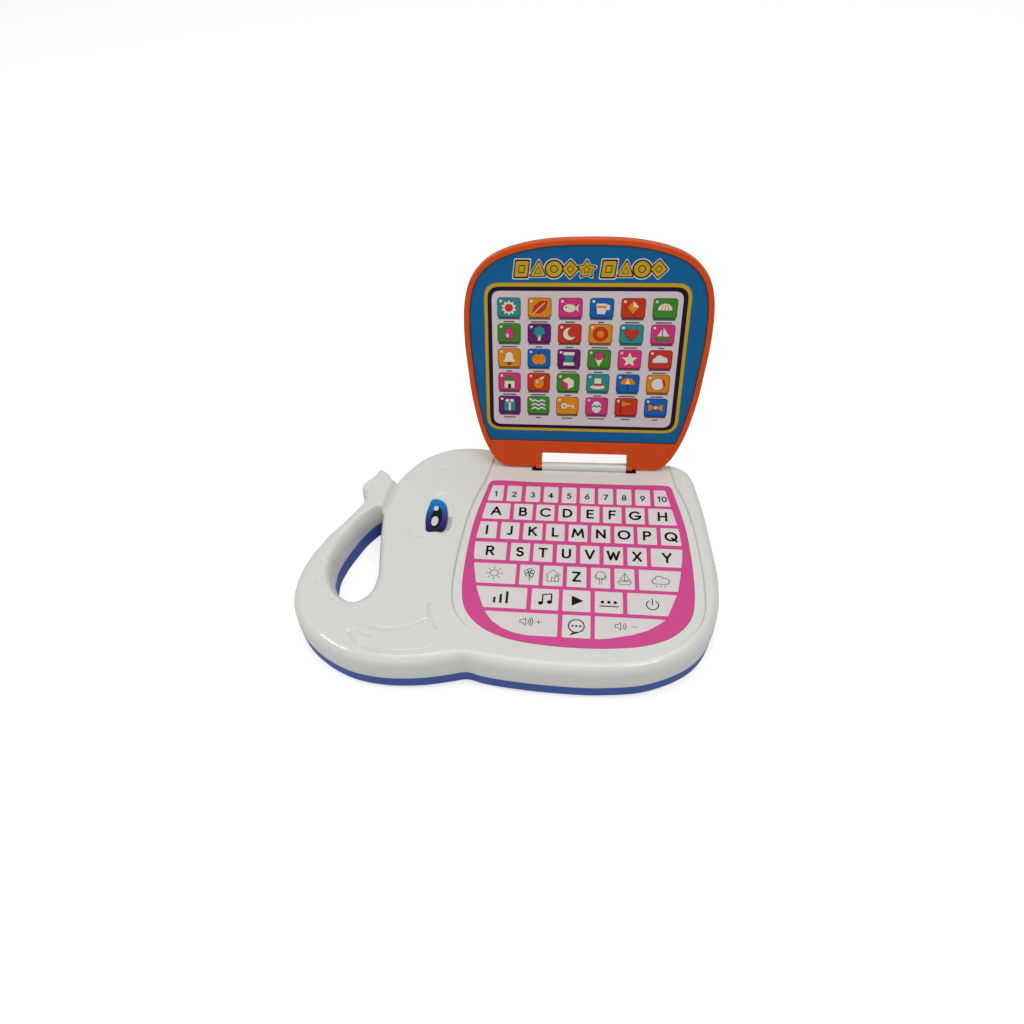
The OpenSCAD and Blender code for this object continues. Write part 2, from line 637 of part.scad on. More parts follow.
module capacitor() color("navy") translate([board_c[0] + 16, board_c[1] - 8, board_z])
    mirror([0, 0, 1]) cylinder(r = 2.5, h = 7);

module small_components() color("saddlebrown") {
    for (i = [0 : 3]) translate([board_c[0] + 6 + 3.5 * i, board_c[1] + 6, board_z - 0.8])
        cube([1.6, 3.2, 0.8]);
    for (i = [0 : 1]) translate([board_c[0] - 24.4, board_c[1] - 9 + 5 * i, board_z - 1.1])
        cube([3, 2, 1.1]);
}

// ---- speaker ----

module on_speaker(z) translate([speaker_c[0], speaker_c[1], z]) children();

module speaker_gasket() color("black") gasket_ring(wall, speaker_r, speaker_r - 3, gasket_t);

// A pressed basket: flange, sloping wall and a flat seat for the magnet.
module speaker_frame() color("silver") on_speaker(flange_z) rotate_extrude() polygon([
    [speaker_r - 2.6, 0], [speaker_r, 0], [speaker_r, flange_t], [speaker_r - 2, flange_t],
    [magnet_r, basket_h], [3.2, basket_h], [3.2, basket_h - 1], [magnet_r - 1, basket_h - 1]]);

module speaker_magnet() color("darkgray") on_speaker(flange_z + basket_h)
    cylinder(r = magnet_r - 0.5, h = magnet_h);

module speaker_cone() color("dimgray") on_speaker(flange_z) rotate_extrude() polygon([
    [0, 2.6], [3.4, 2.2], [4, 3.6], [speaker_r - 5.4, 0.5], [speaker_r - 3.5, 0.5],
    [speaker_r - 3.5, 0], [speaker_r - 5.8, 0], [4.4, 3], [3.8, 1.7], [0, 2.1]]);

module speaker_screws() color("silver") at_speaker_screws()
    translate([0, 0, flange_z + flange_t]) mirror([0, 0, 1])
        screw(speaker_pilot_r, 3.1, 1.2, flange_z + flange_t - wall + 0.9);

// ---- batteries ----

module at_cells() {
    for (i = [-1 : 1]) translate([0, bay_c[1] + i * cell_pitch, cell_z])
        rotate([0, 0, i == 0 ? 180 : 0]) children();
}

module battery_cells() color("gold") at_cells()
    translate([bay_x / 2 - plate_t, 0, 0]) rotate([0, -90, 0]) {
        cylinder(r = 2.7, h = 1.2);
        translate([0, 0, 1]) cylinder(r = cell_d / 2, h = cell_len - 1);
    }

module battery_plates() color("silver") at_cells() for (side = [-1, 1])
    translate([side * (bay_x / 2 - plate_t / 2), 0, 0]) cube([plate_t, 11, 11], center = true);

module battery_springs() color("silver") at_cells() {
    turns = 4.5;
    x0 = -bay_x / 2 + plate_t + spring_wire;
    span = spring_len - 2 * spring_wire;
    tube([for (i = [0 : 45]) let (u = i / 45, r = 4.6 - 1.2 * u)
        [x0 + span * u, r * cos(360 * turns * u), r * sin(360 * turns * u)]], spring_wire, 6);
}

module battery_door() color("royalblue") difference() {
    translate([-door_w / 2, door_front_y, bay_floor_z - door_t])
        cube([door_w, door_back_y - door_front_y, door_t]);
    translate([0, door_screw_y, -1]) cylinder(r = door_screw_r + 0.2, h = 6);
    translate([0, door_screw_y, -1]) cylinder(r = 2.6, h = 1 + bay_floor_z - 1);
}

module battery_door_screw() color("silver") translate([0, door_screw_y, bay_floor_z - 1])
    screw(door_screw_r, 2.4, 0.9, 7);

module shell_screws() color("silver") at_shell_screws() translate([0, 0, head_seat_z])
    screw(screw_r, screw_head_r, 1.8, screw_reach - head_seat_z);

// ---- wires ----

// A tube along hand-chosen points.
module tube(pts, r, sides = 8) {
    n = len(pts);
    rings = [for (i = [0 : n - 1])
        let (d = pts[min(i + 1, n - 1)] - pts[max(i - 1, 0)], t = d / norm(d))
        let (s = abs(t[2]) > 0.8 ? [0, 1, 0] : [0, 0, 1])
        let (a = cross(s, t) / norm(cross(s, t)), b = cross(t, a))
        [for (k = [0 : sides - 1]) pts[i] + r * (cos(360 * k / sides) * a
            + sin(360 * k / sides) * b)]];
    walls = [for (i = [0 : n - 2], k = [0 : sides - 1], half = [0, 1])
        let (p = i * sides + k, q = i * sides + (k + 1) % sides)
        half == 0 ? [p, p + sides, q] : [q, p + sides, q + sides]];
    start = [[for (k = [0 : sides - 1]) k]];
    finish = [[for (k = [sides - 1 : -1 : 0]) (n - 1) * sides + k]];
    polyhedron(points = [for (ring = rings, p = ring) p], faces = concat(start, walls, finish));
}

module battery_wire_red() color("red") tube(red_points, wire_r);
module battery_wire_black() color("black") tube(black_points, wire_r);
module speaker_wire_red() color("red") tube(speaker_red_points, wire_r);
module speaker_wire_black() color("black") tube(speaker_black_points, wire_r);

// ---- lid, drawn closed with its front face down at z = 0 and the hinge axis along X ----

module notch(grow, z_low, z_high) {
    translate([hinge_x - notch_w / 2 - grow, -notch_h - grow, z_low])
        cube([notch_w + 2 * grow, notch_h + 10 + grow, z_high - z_low]);
}

// Cuts the foot back along a slope, so that it turns clear of the recess floor.
module foot_cut(shift = 0) {
    rotate([foot_angle, 0, 0]) translate([-block / 2, foot_drop - shift, -block / 2])
        cube(block);
}

module lid_inner_plan(inset) {
    intersection() {
        polygon(moved_in(lid_loop, inset));
        translate([-block / 2, -block]) square([block, block - band_h]);
    }
}

module lid_frame() color("orangered") on_lid() {
    difference() {
        union() {
            difference() {
                rolled_bottom(with_width(lid_loop, frame_round), lid_centre, 0, frame_t,
                    frame_round);
                translate([0, 0, -1]) linear_extrude(1 + sheet_drop + sheet_t)
                    lid_inner_plan(rim_w);
                notch(0, -1, frame_t + 1);
                foot_cut();
            }
            at_both_sides() x_rod(knuckle_r, knuckle_w);
        }
        at_both_sides() x_rod(pin_r + pin_fit, knuckle_w + 1);
    }
}

module lid_cover() color("orangered") on_lid() {
    difference() {
        rolled_top(with_width(lid_loop, cover_round), lid_centre, frame_t, lid_t, cover_round);
        difference() {
            rolled_top(with_width(lid_loop, cover_round), lid_centre, frame_t - 1,
                lid_t - cover_wall, cover_round, cover_wall);
            notch(cover_wall, 0, lid_t);
            foot_cut(cover_wall);
            lid_posts();
        }
        notch(0, 0, lid_t + 1);
        foot_cut();
    }
}

module lid_posts() {
    for (p = [[-52, -30], [52, -30], [-58, -100], [58, -100], [0, -138]])
        translate([p[0], p[1], 0]) cylinder(r = 3, h = lid_t);
}

module lid_sheet() color("steelblue") on_lid() translate([0, 0, sheet_drop])
    linear_extrude(sheet_t) lid_inner_plan(rim_w + seat);

module hinge_pins() color("silver") for (side = [-1, 1])
    on_axis(side * (barrel_w / 2 - pin_in + pin_len / 2)) x_rod(pin_r, pin_len);

top_shell();
bottom_shell();
eye_sticker();
keypad_overlay();
contact_film();
spacer_film();
circuit_film();
tail_clamp();
tail_clamp_screws();
main_board();
board_screws();
sound_chip();
capacitor();
small_components();
speaker_frame();
speaker_magnet();
speaker_cone();
speaker_gasket();
speaker_screws();
battery_cells();
battery_springs();
battery_plates();
battery_door();
battery_door_screw();
shell_screws();
battery_wire_red();
battery_wire_black();
speaker_wire_red();
speaker_wire_black();
lid_frame();
lid_cover();
lid_sheet();
hinge_pins();
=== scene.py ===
import math

import bpy
import numpy as np
from mathutils import Matrix, Vector
from mathutils.geometry import delaunay_2d_cdt


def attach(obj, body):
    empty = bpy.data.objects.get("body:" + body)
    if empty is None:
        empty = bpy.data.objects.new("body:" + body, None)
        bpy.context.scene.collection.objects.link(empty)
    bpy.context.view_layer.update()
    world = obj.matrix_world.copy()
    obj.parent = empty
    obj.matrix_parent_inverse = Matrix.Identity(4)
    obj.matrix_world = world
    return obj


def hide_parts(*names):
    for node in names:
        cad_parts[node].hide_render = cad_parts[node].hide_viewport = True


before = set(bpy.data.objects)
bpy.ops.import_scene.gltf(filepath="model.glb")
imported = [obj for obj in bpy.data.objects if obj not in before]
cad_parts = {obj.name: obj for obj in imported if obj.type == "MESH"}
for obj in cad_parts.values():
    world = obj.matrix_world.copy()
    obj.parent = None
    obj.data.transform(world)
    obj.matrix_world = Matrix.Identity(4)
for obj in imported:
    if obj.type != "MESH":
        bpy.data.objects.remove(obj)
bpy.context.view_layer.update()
MM = 0.001

# ---------------- sizes, as in the CAD
BODY_H, FLOOR_Z = 26.0, 24.5
AXIS_Y, AXIS_Z, LID_OPEN = 74.3, 26.3, math.radians(101.9)
FOOT_DROP, LEAN, LID_X = 1.4, 0.37, 0.2
NOTCH = (-25.15, 30.35)
NOTCH_H = 9.8

BODY = [(15, -85, 5.5), (42, -80, 5.5), (66, -65.2, 5.5), (78, -43, 5.5), (81.6, -18, 5.5),
        (79.9, 15, 5.5), (76.2, 50, 5.5), (70, 75, 5.5), (57, 82.3, 5.5), (10, 82.6, 5.5),
        (-40, 84, 5.5), (-56, 91.5, 6), (-73, 94, 7), (-90, 91.3, 7), (-105, 82.3, 7),
        (-115, 69.5, 6), (-121.3, 57.8, 3.2), (-128.3, 65.4, 2.5), (-134.1, 67.8, 2),
        (-137.2, 60.8, 2), (-142.2, 54.4, 2), (-143.5, 49.8, 2.2), (-139.8, 44.2, 3),
        (-139.6, 39, 4), (-147.4, 23.6, 6.5), (-157, 6.6, 6.5), (-164.6, -12.4, 6.5),
        (-167.6, -30, 6.5), (-165.3, -48, 6.5), (-156.3, -63.4, 6.5), (-142, -75.8, 6.5),
        (-125, -84, 6.5), (-106, -87, 6.5), (-84, -85.6, 6.5), (-68, -82, 5.5),
        (-59.5, -80, 4.5), (-51, -82, 5.5), (-34, -84.2, 5.5), (-10, -85.5, 5.5)]
HOLE = [(-119.3, -24, 6), (-121.3, -6, 6), (-123.7, 12, 5), (-125.8, 30, 3),
        (-127.6, 32, 2.5), (-135.5, 22.5, 5), (-142, 8, 6.5), (-146, -4, 6.5),
        (-147.7, -15, 6.5), (-145.6, -28, 6.5), (-138, -39.5, 6.5), (-129, -43.2, 6.5),
        (-121.8, -37.5, 6)]
LID_TIP, PAD_TIP, RECESS_TIP = -149.8, -69.7, -72.9
LID_HALF = [(21.7, -149.1), (36.5, -146.9), (46.8, -144.1), (54.2, -141), (60.4, -137),
            (65.8, -131.5), (69.4, -125.9), (71.8, -119), (73.3, -111), (74, -99),
            (73.7, -84), (72.5, -70), (71.1, -55), (69.1, -42), (67.1, -32), (65, -24),
            (63, -18), (60.5, -12), (57.5, -6.2), (53, -1), (46, 1.9), (30, 1.9)]
RECESS_HALF = [(22, -72.1), (37, -70.2), (47.1, -67.4), (54.4, -63.9), (60.4, -59.8),
               (65.4, -54.6), (68.9, -49.4), (71.2, -43.3), (72.5, -35.3), (73, -23.4),
               (72.7, -8.4), (71.8, 5.6), (70.4, 20.7), (68.5, 33.7), (66.4, 43.7),
               (64.2, 51.8), (62, 58), (60.6, 66), (58.6, 76), (54, 100)]
PAD_HALF = [(20, -68.8), (38, -65.8), (52, -59.6), (60.4, -51.6), (64.9, -43), (67, -30),
            (67.4, -12), (66.9, 4), (65.5, 22), (63, 38), (60.5, 50), (58.5, 59),
            (56.7, 60.6), (30, 60.6)]


# ---------------- plane curves
def spline(points, steps=8, closed=True):
    """A centripetal curve through the points, with any third value carried along."""
    p = np.array(points, float)
    before, after = (p[-1:], p[:2]) if closed else (2 * p[:1] - p[1:2], 2 * p[-1:] - p[-2:-1])
    p = np.vstack([before, p, after])
    out = []
    for i in range(len(p) - 3):
        q = p[i:i + 4]
        t = [0.0]
        for k in range(3):
            t.append(t[-1] + max(np.linalg.norm(q[k + 1][:2] - q[k][:2]), 1e-6) ** 0.5)
        for s in range(steps):
            u = t[1] + (t[2] - t[1]) * s / steps
            a = [((t[k + 1] - u) * q[k] + (u - t[k]) * q[k + 1]) / (t[k + 1] - t[k])
                 for k in range(3)]
            b = [((t[k + 2] - u) * a[k] + (u - t[k]) * a[k + 1]) / (t[k + 2] - t[k])
                 for k in range(2)]
            out.append(((t[2] - u) * b[0] + (u - t[1]) * b[1]) / (t[2] - t[1]))
    return np.array(out if closed else out + [p[-2]])


def both_halves(half, tip):
    return [(0, tip)] + list(half) + [(-x, y) for x, y in reversed(half)]


def resample(loop, step, closed=True):
    """Points spaced about one step apart along the loop."""
    p = np.vstack([loop, loop[:1]]) if closed else np.array(loop, float)
    seg = np.linalg.norm(np.diff(p[:, :2], axis=0), axis=1)
    s = np.concatenate([[0], np.cumsum(seg)])
    n = max(int(round(s[-1] / step)), 3)
    u = np.linspace(0, s[-1], n + 1)
    q = np.array([np.interp(u, s, p[:, k]) for k in range(p.shape[1])]).T
    return q[:-1] if closed else q


def normals(loop):
    t = np.roll(loop[:, :2], -1, 0) - np.roll(loop[:, :2], 1, 0)
    n = np.stack([-t[:, 1], t[:, 0]], 1)
    return n / np.linalg.norm(n, axis=1, keepdims=True)


def moved_in(loop, d):
    """The anticlockwise loop, moved inwards by d (a number or one value a point)."""
    return loop[:, :2] + normals(loop) * np.reshape(d, (-1, 1))


def nearest(points, line, closed=True):
    """Distance to a polyline, and the third value of its nearest point."""
    a, b = (line, np.roll(line, -1, 0)) if closed else (line[:-1], line[1:])
    ab = b[:, :2] - a[:, :2]
    ll = np.maximum((ab ** 2).sum(1), 1e-12)
    dist = np.empty(len(points))
    value = np.zeros(len(points))
    for i in range(0, len(points), 4000):
        part = slice(i, i + 4000)
        p = points[part, None, :2] - a[None, :, :2]
        t = np.clip((p * ab).sum(2) / ll, 0, 1)
        d = np.linalg.norm(p - t[..., None] * ab, axis=2)
        k = d.argmin(1)
        r = np.arange(len(k))
        dist[part] = d[r, k]
        if line.shape[1] > 2:
            value[part] = a[k, 2] + t[r, k] * (b[k, 2] - a[k, 2])
    return dist, value


def inside(points, loop):
    x, y = points[:, 0], points[:, 1]
    hit = np.zeros(len(points), bool)
    ax, ay = loop[:, 0], loop[:, 1]
    bx, by = np.roll(ax, -1), np.roll(ay, -1)
    for x0, y0, x1, y1 in zip(ax, ay, bx, by):
        if y0 != y1:
            hit ^= ((y0 > y) != (y1 > y)) & (x < (x1 - x0) * (y - y0) / (y1 - y0) + x0)
    return hit


def signed(points, loop):
    """Distance to the loop, negative inside it."""
    d = nearest(points, loop)[0]
    return np.where(inside(points, loop), -d, d)


def between(points, outer, clear, hole_clear=None):
    """The points inside the outer loop and outside the hole, clear of both edges."""
    ok = inside(points, outer) & (nearest(points, outer)[0] > clear)
    if hole_clear:
        ok &= ~inside(points, hole_loop) & (nearest(points, hole_loop)[0] > hole_clear)
    return points[ok]


def smooth(x):
    x = np.clip(x, 0, 1)
    return x * x * (3 - 2 * x)


def grid(x0, x1, y0, y1, step):
    """Points in staggered rows."""
    gx, gy = np.meshgrid(np.arange(x0, x1, step), np.arange(y0, y1, step))
    gx = gx + (np.arange(gx.shape[0]) % 2)[:, None] * step / 2
    return np.stack([gx.ravel(), gy.ravel()], 1)


# ---------------- mesh building
def linked(name, data):
    ob = bpy.data.objects.new(name, data)
    bpy.context.scene.collection.objects.link(ob)
    return ob


def new_object(name, verts, faces, mats, body, angle=None, index=None, node=None):
    """A mesh in mm on a body, smooth if an angle is given, in place of a node of the CAD."""
    mesh = bpy.data.meshes.new(name)
    mesh.from_pydata((np.array(verts, float) * MM).tolist(), [], [tuple(f) for f in faces])
    mesh.validate()
    for m in mats:
        mesh.materials.append(m)
    if index:
        mesh.polygons.foreach_set("material_index", list(map(int, index)))
    if angle:
        mesh.polygons.foreach_set("use_smooth", [True] * len(mesh.polygons))
        mesh.set_sharp_from_angle(angle=math.radians(angle))
    mesh.update()
    ob = linked(name, mesh)
    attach(ob, body)
    if node:
        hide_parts(node)


def cushion(loop, rings, z0=0.0, first=0):
    """Walls through the loop moved inwards, (distance, z), with the last ring filled in. The
    vertices are numbered from first."""
    n = len(loop)
    verts = np.vstack([np.column_stack([moved_in(loop, d), np.full(n, z0 + z)])
                       for d, z in rings]).tolist()
    faces = []
    for k in range(first, first + (len(rings) - 1) * n, n):
        faces += [(k + i, k + (i + 1) % n, k + n + (i + 1) % n, k + n + i) for i in range(n)]
    return verts, faces + [tuple(range(k + n, k + 2 * n))]


def triangulate(loops, extra, lines=()):
    """Triangles over the plane area inside loops[0] and outside the other loops."""
    pts, edges = [], []
    for line, closed in [(loop, True) for loop in loops] + list(lines):
        k, n = len(pts), len(line)
        pts += [tuple(p[:2]) for p in line]
        edges += [(k + i, k + (i + 1) % n) for i in range(n if closed else n - 1)]
    pts += [tuple(p[:2]) for p in extra]
    v, _, f, _, _, _ = delaunay_2d_cdt([Vector(p) for p in pts], edges, [], 0, 1e-4)
    v = np.array([(p.x, p.y) for p in v])
    f = np.array([t for t in f if len(t) == 3])
    c = v[f].mean(1)
    keep = inside(c, loops[0])
    for loop in loops[1:]:
        keep &= ~inside(c, loop)
    f = f[keep]
    used = np.unique(f)
    back = -np.ones(len(v), int)
    back[used] = np.arange(len(used))
    f = back[f]
    v = v[used]
    a, b, c = v[f[:, 0]], v[f[:, 1]], v[f[:, 2]]
    area = (b[:, 0] - a[:, 0]) * (c[:, 1] - a[:, 1]) - (b[:, 1] - a[:, 1]) * (c[:, 0] - a[:, 0])
    f[area < 0] = f[area < 0][:, ::-1]
    return v, f[np.abs(area) > 1e-9]


def boundary_loops(faces):
    """Closed chains of vertex numbers round the mesh, with the area on their left."""
    e = {(f[i], f[(i + 1) % 3]): True for f in faces for i in range(3)}
    nxt = {a: b for a, b in e if (b, a) not in e}
    loops = []
    while nxt:
        start, cur = next(iter(nxt.items()))
        del nxt[start]
        chain = [start]
        while cur != start and cur in nxt:
            chain.append(cur)
            cur = nxt.pop(cur)
        loops.append(chain)
    return loops


def slab(loops, extra, height, walls, lines=()):
    """A closed solid: a shaped upper face, then walls that run down through the rings in
    walls, (move inwards, z), and a flat lower face. Returns vertices, faces and how many of
    the faces are the upper face's."""
    v, f = triangulate(loops, extra, lines)
    verts = [np.column_stack([v, height(v)])]
    faces = f.tolist()
    count = len(v)
    lookup, caps = {}, []

    def spot(p):
        return round(float(p[0]), 2), round(float(p[1]), 2)
    for chain in boundary_loops(f.tolist()):
        base = v[chain]
        nrm = normals(base)
        prev, n = chain, len(chain)
        for d, z in walls:
            ring = base + nrm * d
            verts.append(np.column_stack([ring, np.full(n, z)]))
            cur = range(count, count + n)
            count += n
            faces += [(prev[(i + 1) % n], prev[i], cur[i], cur[(i + 1) % n]) for i in range(n)]
            prev = cur
        caps.append(ring)
        lookup.update({spot(p): i for i, p in zip(prev, ring)})
    cv, cf = triangulate(sorted(caps, key=lambda cap: -np.ptp(cap[:, 0])), [])
    for p in cv:
        if spot(p) not in lookup:
            verts.append(np.array([[p[0], p[1], walls[-1][1]]]))
            lookup[spot(p)] = count
            count += 1
    faces += [tuple(lookup[spot(cv[i])] for i in t[::-1]) for t in cf]
    return np.vstack(verts), faces, len(f)


body_loop = resample(spline(BODY, 12), 1.6)
hole_loop = resample(spline(HOLE, 12), 1.3)
lid_loop = resample(spline(both_halves(LID_HALF, LID_TIP), 8), 1.6) + [LID_X, 0]
pad_loop = resample(spline(both_halves(PAD_HALF, PAD_TIP), 8), 1.2)


# ---------------- materials
def srgb(*rgb):
    return (*(c / 12.92 if c <= 0.04045 else ((c + 0.055) / 1.055) ** 2.4
              for c in (v / 255 for v in rgb)), 1.0)


def adder(tree):
    """Returns add(kind, {socket: value or output to link}, **settings), which makes nodes."""
    def add(kind, sockets=None, **settings):
        node = tree.nodes.new("ShaderNode" + kind)
        for key, value in settings.items():
            setattr(node, key, value)
        for key, value in (sockets or {}).items():
            if isinstance(value, bpy.types.NodeSocket):
                tree.links.new(value, node.inputs[key])
            else:
                node.inputs[key].default_value = value
        return node
    return add


def emptied(owner):
    owner.use_nodes = True
    owner.node_tree.nodes.clear()
    return adder(owner.node_tree)


def material(name, rgb, rough=0.35, vary=0.05, bump=0.02, grain=900.0, coat=0.0, metal=0.0,
             spec=0.5, wear=0.0):
    """Moulded plastic, film, metal or paper: mottled colour, uneven gloss and fine grain."""
    m = bpy.data.materials.new(name)
    add = emptied(m)
    place = add("TexCoord").outputs["Object"]
    base = srgb(*rgb)[:3]

    def noise(scale, detail):
        return add("TexNoise", {"Scale": scale, "Detail": detail, "Vector": place}).outputs["Fac"]

    def blend(share, first, k):
        """From first to the base colour times k."""
        other = tuple(min(x * k, 1) for x in base) + (1,)
        return add("Mix", {0: share, 6: first, 7: other}, data_type="RGBA").outputs[2]
    big, fine = noise(60.0, 4), noise(grain, 3)
    colour = blend(big, tuple(x * (1 - vary) for x in base) + (1,), 1 + vary)
    if wear:
        specks = add("MapRange", {"Value": noise(420, 2), "From Min": 0.70, "From Max": 0.76,
                                  "To Max": wear})
        colour = blend(specks.outputs[0], colour, 0.72)
    gloss = add("MapRange", {"Value": big, "To Min": max(rough - 0.08, 0.02),
                             "To Max": min(rough + 0.08, 1)})
    bumps = add("Bump", {"Height": fine, "Strength": bump, "Distance": 0.0004})
    shader = add("BsdfPrincipled", {
        "Base Color": colour, "Roughness": gloss.outputs[0], "Normal": bumps.outputs[0],
        "Metallic": metal, "Specular IOR Level": spec, "Coat Weight": coat,
        "Coat Roughness": 0.05})
    add("OutputMaterial", {0: shader.outputs[0]})
    return m


WHITE = material("white_plastic", (224, 225, 218), 0.40, 0.02, 0.04, 1400, coat=1.0, wear=0.05)
BLUE = material("blue_plastic", (62, 90, 170), 0.38, 0.05, 0.05, 1300, spec=0.35)
ORANGE = material("orange_plastic", (218, 76, 0), 0.36, 0.05, 0.05, 1300, coat=0.3, spec=0.15)
# Dark blue-grey: painted shade, laid on the floors of the hinge slots and the speaker grille's
# pits in place of the shade inside them.
SHADOW = material("painted_shade_inside", (22, 24, 44), 0.8, 0.1)
PINK = material("pink_film", (212, 70, 142), 0.42, 0.05, 0.04, 1700, spec=0.3, wear=0.06)
# Darker pink: painted shade along the keypad film's edge, where it meets its pocket.
PAD_EDGE_SHADE = material("pink_edge_painted_shade", (150, 44, 100), 0.5, 0.05, spec=0.2)
KEY = material("key_print", (222, 216, 215), 0.40, 0.03, 0.04, 1700, spec=0.3)
BLACK = material("black_ink", (14, 12, 16), 0.5, 0.06, spec=0.15)
GREY = material("grey_ink", (104, 98, 106), 0.5, 0.06, spec=0.2)


# ---------------- white casing
# The creases of the face: points, half width and depth in units of CREASE_SCALE.
CREASE_SCALE = 2.1
RELIEF = [
    ([(-93.4, 69.6), (-90, 70.0), (-85.8, 69.0)], 0.7, 0.35),
    ([(-105.9, 11), (-103, 8.6), (-99, 7.2), (-93.8, 6.5)], 0.8, 0.4),
    ([(-152.6, -10.5), (-149.8, -12.5), (-147.2, -13.0)], 0.7, 0.35),
    ([(-153.6, -16.8), (-150.4, -18.2), (-147.4, -18.4)], 0.7, 0.35),
    ([(-153.5, -33.5), (-150.5, -34.4), (-147.4, -33.8)], 0.7, 0.35),
    ([(-142.5, -44.9), (-138, -47.6), (-133, -49.0), (-128.9, -49.2)], 0.8, 0.4),
    ([(-122.2, -61.8), (-116, -64.2), (-108, -65.2), (-100.2, -64.5), (-91, -61.0),
      (-83.6, -56.4)], 1.1, 0.5),
    ([(-84.1, -44.1), (-83.9, -49), (-82.7, -54.2), (-80.6, -58.6), (-77.6, -62.3)], 1.1, 0.5),
    ([(-127.4, -67.8), (-122.8, -73.0), (-117.5, -76.7), (-110.2, -78.9), (-101.5, -79.9),
      (-93.1, -79.7), (-85.2, -78.4), (-77.4, -76)], 1.5, 0.45),
    ([(-122.8, -67.4), (-118.4, -69.3), (-113.6, -70.3)], 0.7, 0.35),
]
SOCKET = [(-88, 12), (-79.4, 12.4), (-78.5, 22), (-79.1, 32), (-81.2, 39.8), (-85.2, 44.7),
          (-89.9, 45.6), (-93.4, 42.4), (-93.6, 37.4), (-88, 30)]
GROOVE = [(-120.4, 61.5), (-121.3, 54.5), (-122.5, 45), (-123.6, 36), (-125.4, 28)]
recess_line = spline([(-x, y) for x, y in reversed(RECESS_HALF)] + [(0, RECESS_TIP)]
                     + RECESS_HALF, 5, False)
socket_loop = resample(spline(SOCKET, 8), 0.8)
relief_lines = [(resample(spline(p, 8, False), 0.7, False), w, d) for p, w, d in RELIEF]
groove = resample(spline(GROOVE, 8, False), 1.0, False)
SLOTS = [(NOTCH[0] - 6.3, NOTCH[0] + 0.3), (NOTCH[1] - 0.3, NOTCH[1] + 6.3)]
SLOT_HALF = 2.7


def in_slot(v):
    """How far inside a hinge knuckle's slot, negative outside."""
    return np.maximum.reduce([np.minimum.reduce(
        [v[:, 0] - x0, x1 - v[:, 0], SLOT_HALF - np.abs(v[:, 1] - AXIS_Y)]) for x0, x1 in SLOTS])


def roll(s, drop):
    """How far a rolled edge has dropped, a share s of its width in from the wall."""
    return drop * (1 - np.sqrt(np.clip(1 - (1 - np.clip(s, 0, 1)) ** 2, 0, 1)))


recess_closed = np.vstack([recess_line, [(54, 120), (-54, 120)]])


def casing_height(v):
    db, eb = nearest(v, body_loop)
    dh, eh = nearest(v, hole_loop)
    left = smooth((-v[:, 0] - 124) / 8)
    z = BODY_H - np.maximum(roll(db / eb, 6.0), roll(dh / (eh * (1 - 0.12 * left)),
                                                     6.0 + 6.0 * left))
    # groove between the trunk's tip and the head
    dg = nearest(v, groove, False)[0]
    cut = 3.4 * np.exp(-(dg / 1.5) ** 2) + 0.9 * (1 - smooth(dg / 4.5))
    z = np.minimum(z, BODY_H - cut)
    for line, w, depth in relief_lines:
        d = nearest(v, line, False)[0]
        z = z - CREASE_SCALE * depth * (1 - smooth(d / w))
    ds = signed(v, socket_loop)
    z = z - 0.45 * smooth((0.35 - ds) / 0.7)
    # the recess, with a slightly rounded upper edge
    dr = signed(v, recess_closed)
    step = FLOOR_Z + (BODY_H - FLOOR_Z) * (0.9 * smooth((dr + 0.02) / 0.16)
                                           + 0.1 * smooth(dr / 0.7))
    z = np.where(dr < 0.7, np.minimum(z, step), z)
    z = z - 0.45 * np.exp(-((dr + 0.3) / 0.16) ** 2) * (np.abs(v[:, 1]) < 73)
    return z - 1.8 * smooth((in_slot(v) + 0.05) / 0.06)


ROLL_STEPS = (0.004, 0.03, 0.085, 0.17, 0.28, 0.41, 0.56, 0.72, 0.88, 1.0)


def rectangle(x0, y0, x1, y1, grow=0.0):
    return np.array([(x0 - grow, y0 - grow), (x1 + grow, y0 - grow), (x1 + grow, y1 + grow),
                     (x0 - grow, y1 + grow)], float)


def casing_extra():
    pts = []
    for s in ROLL_STEPS + (1.15,):
        pts.append(moved_in(body_loop, s * body_loop[:, 2]))
        pts.append(moved_in(hole_loop, -s * hole_loop[:, 2]))
    pts.append(grid(-170, 84, -90, 96, 4.0))
    near = grid(-156, -76, -82, 73, 0.8)
    away = np.min([nearest(near, line, False)[0] for line, _, _ in relief_lines], axis=0)
    pts.append(near[(away > 1.7) & (away < 3.4)])
    near = grid(-170, -70, -88, 75, 0.62)
    pts.append(near[(nearest(near, groove, False)[0] < 5.6)
                    | (np.abs(signed(near, socket_loop)) < 1.0)])
    return between(np.vstack(pts), body_loop, 0.015, 0.015)


def offset_line(line, d):
    t = np.gradient(line[:, :2], axis=0)
    n = np.stack([-t[:, 1], t[:, 0]], 1)
    n /= np.linalg.norm(n, axis=1, keepdims=True)
    return line[:, :2] + n * d


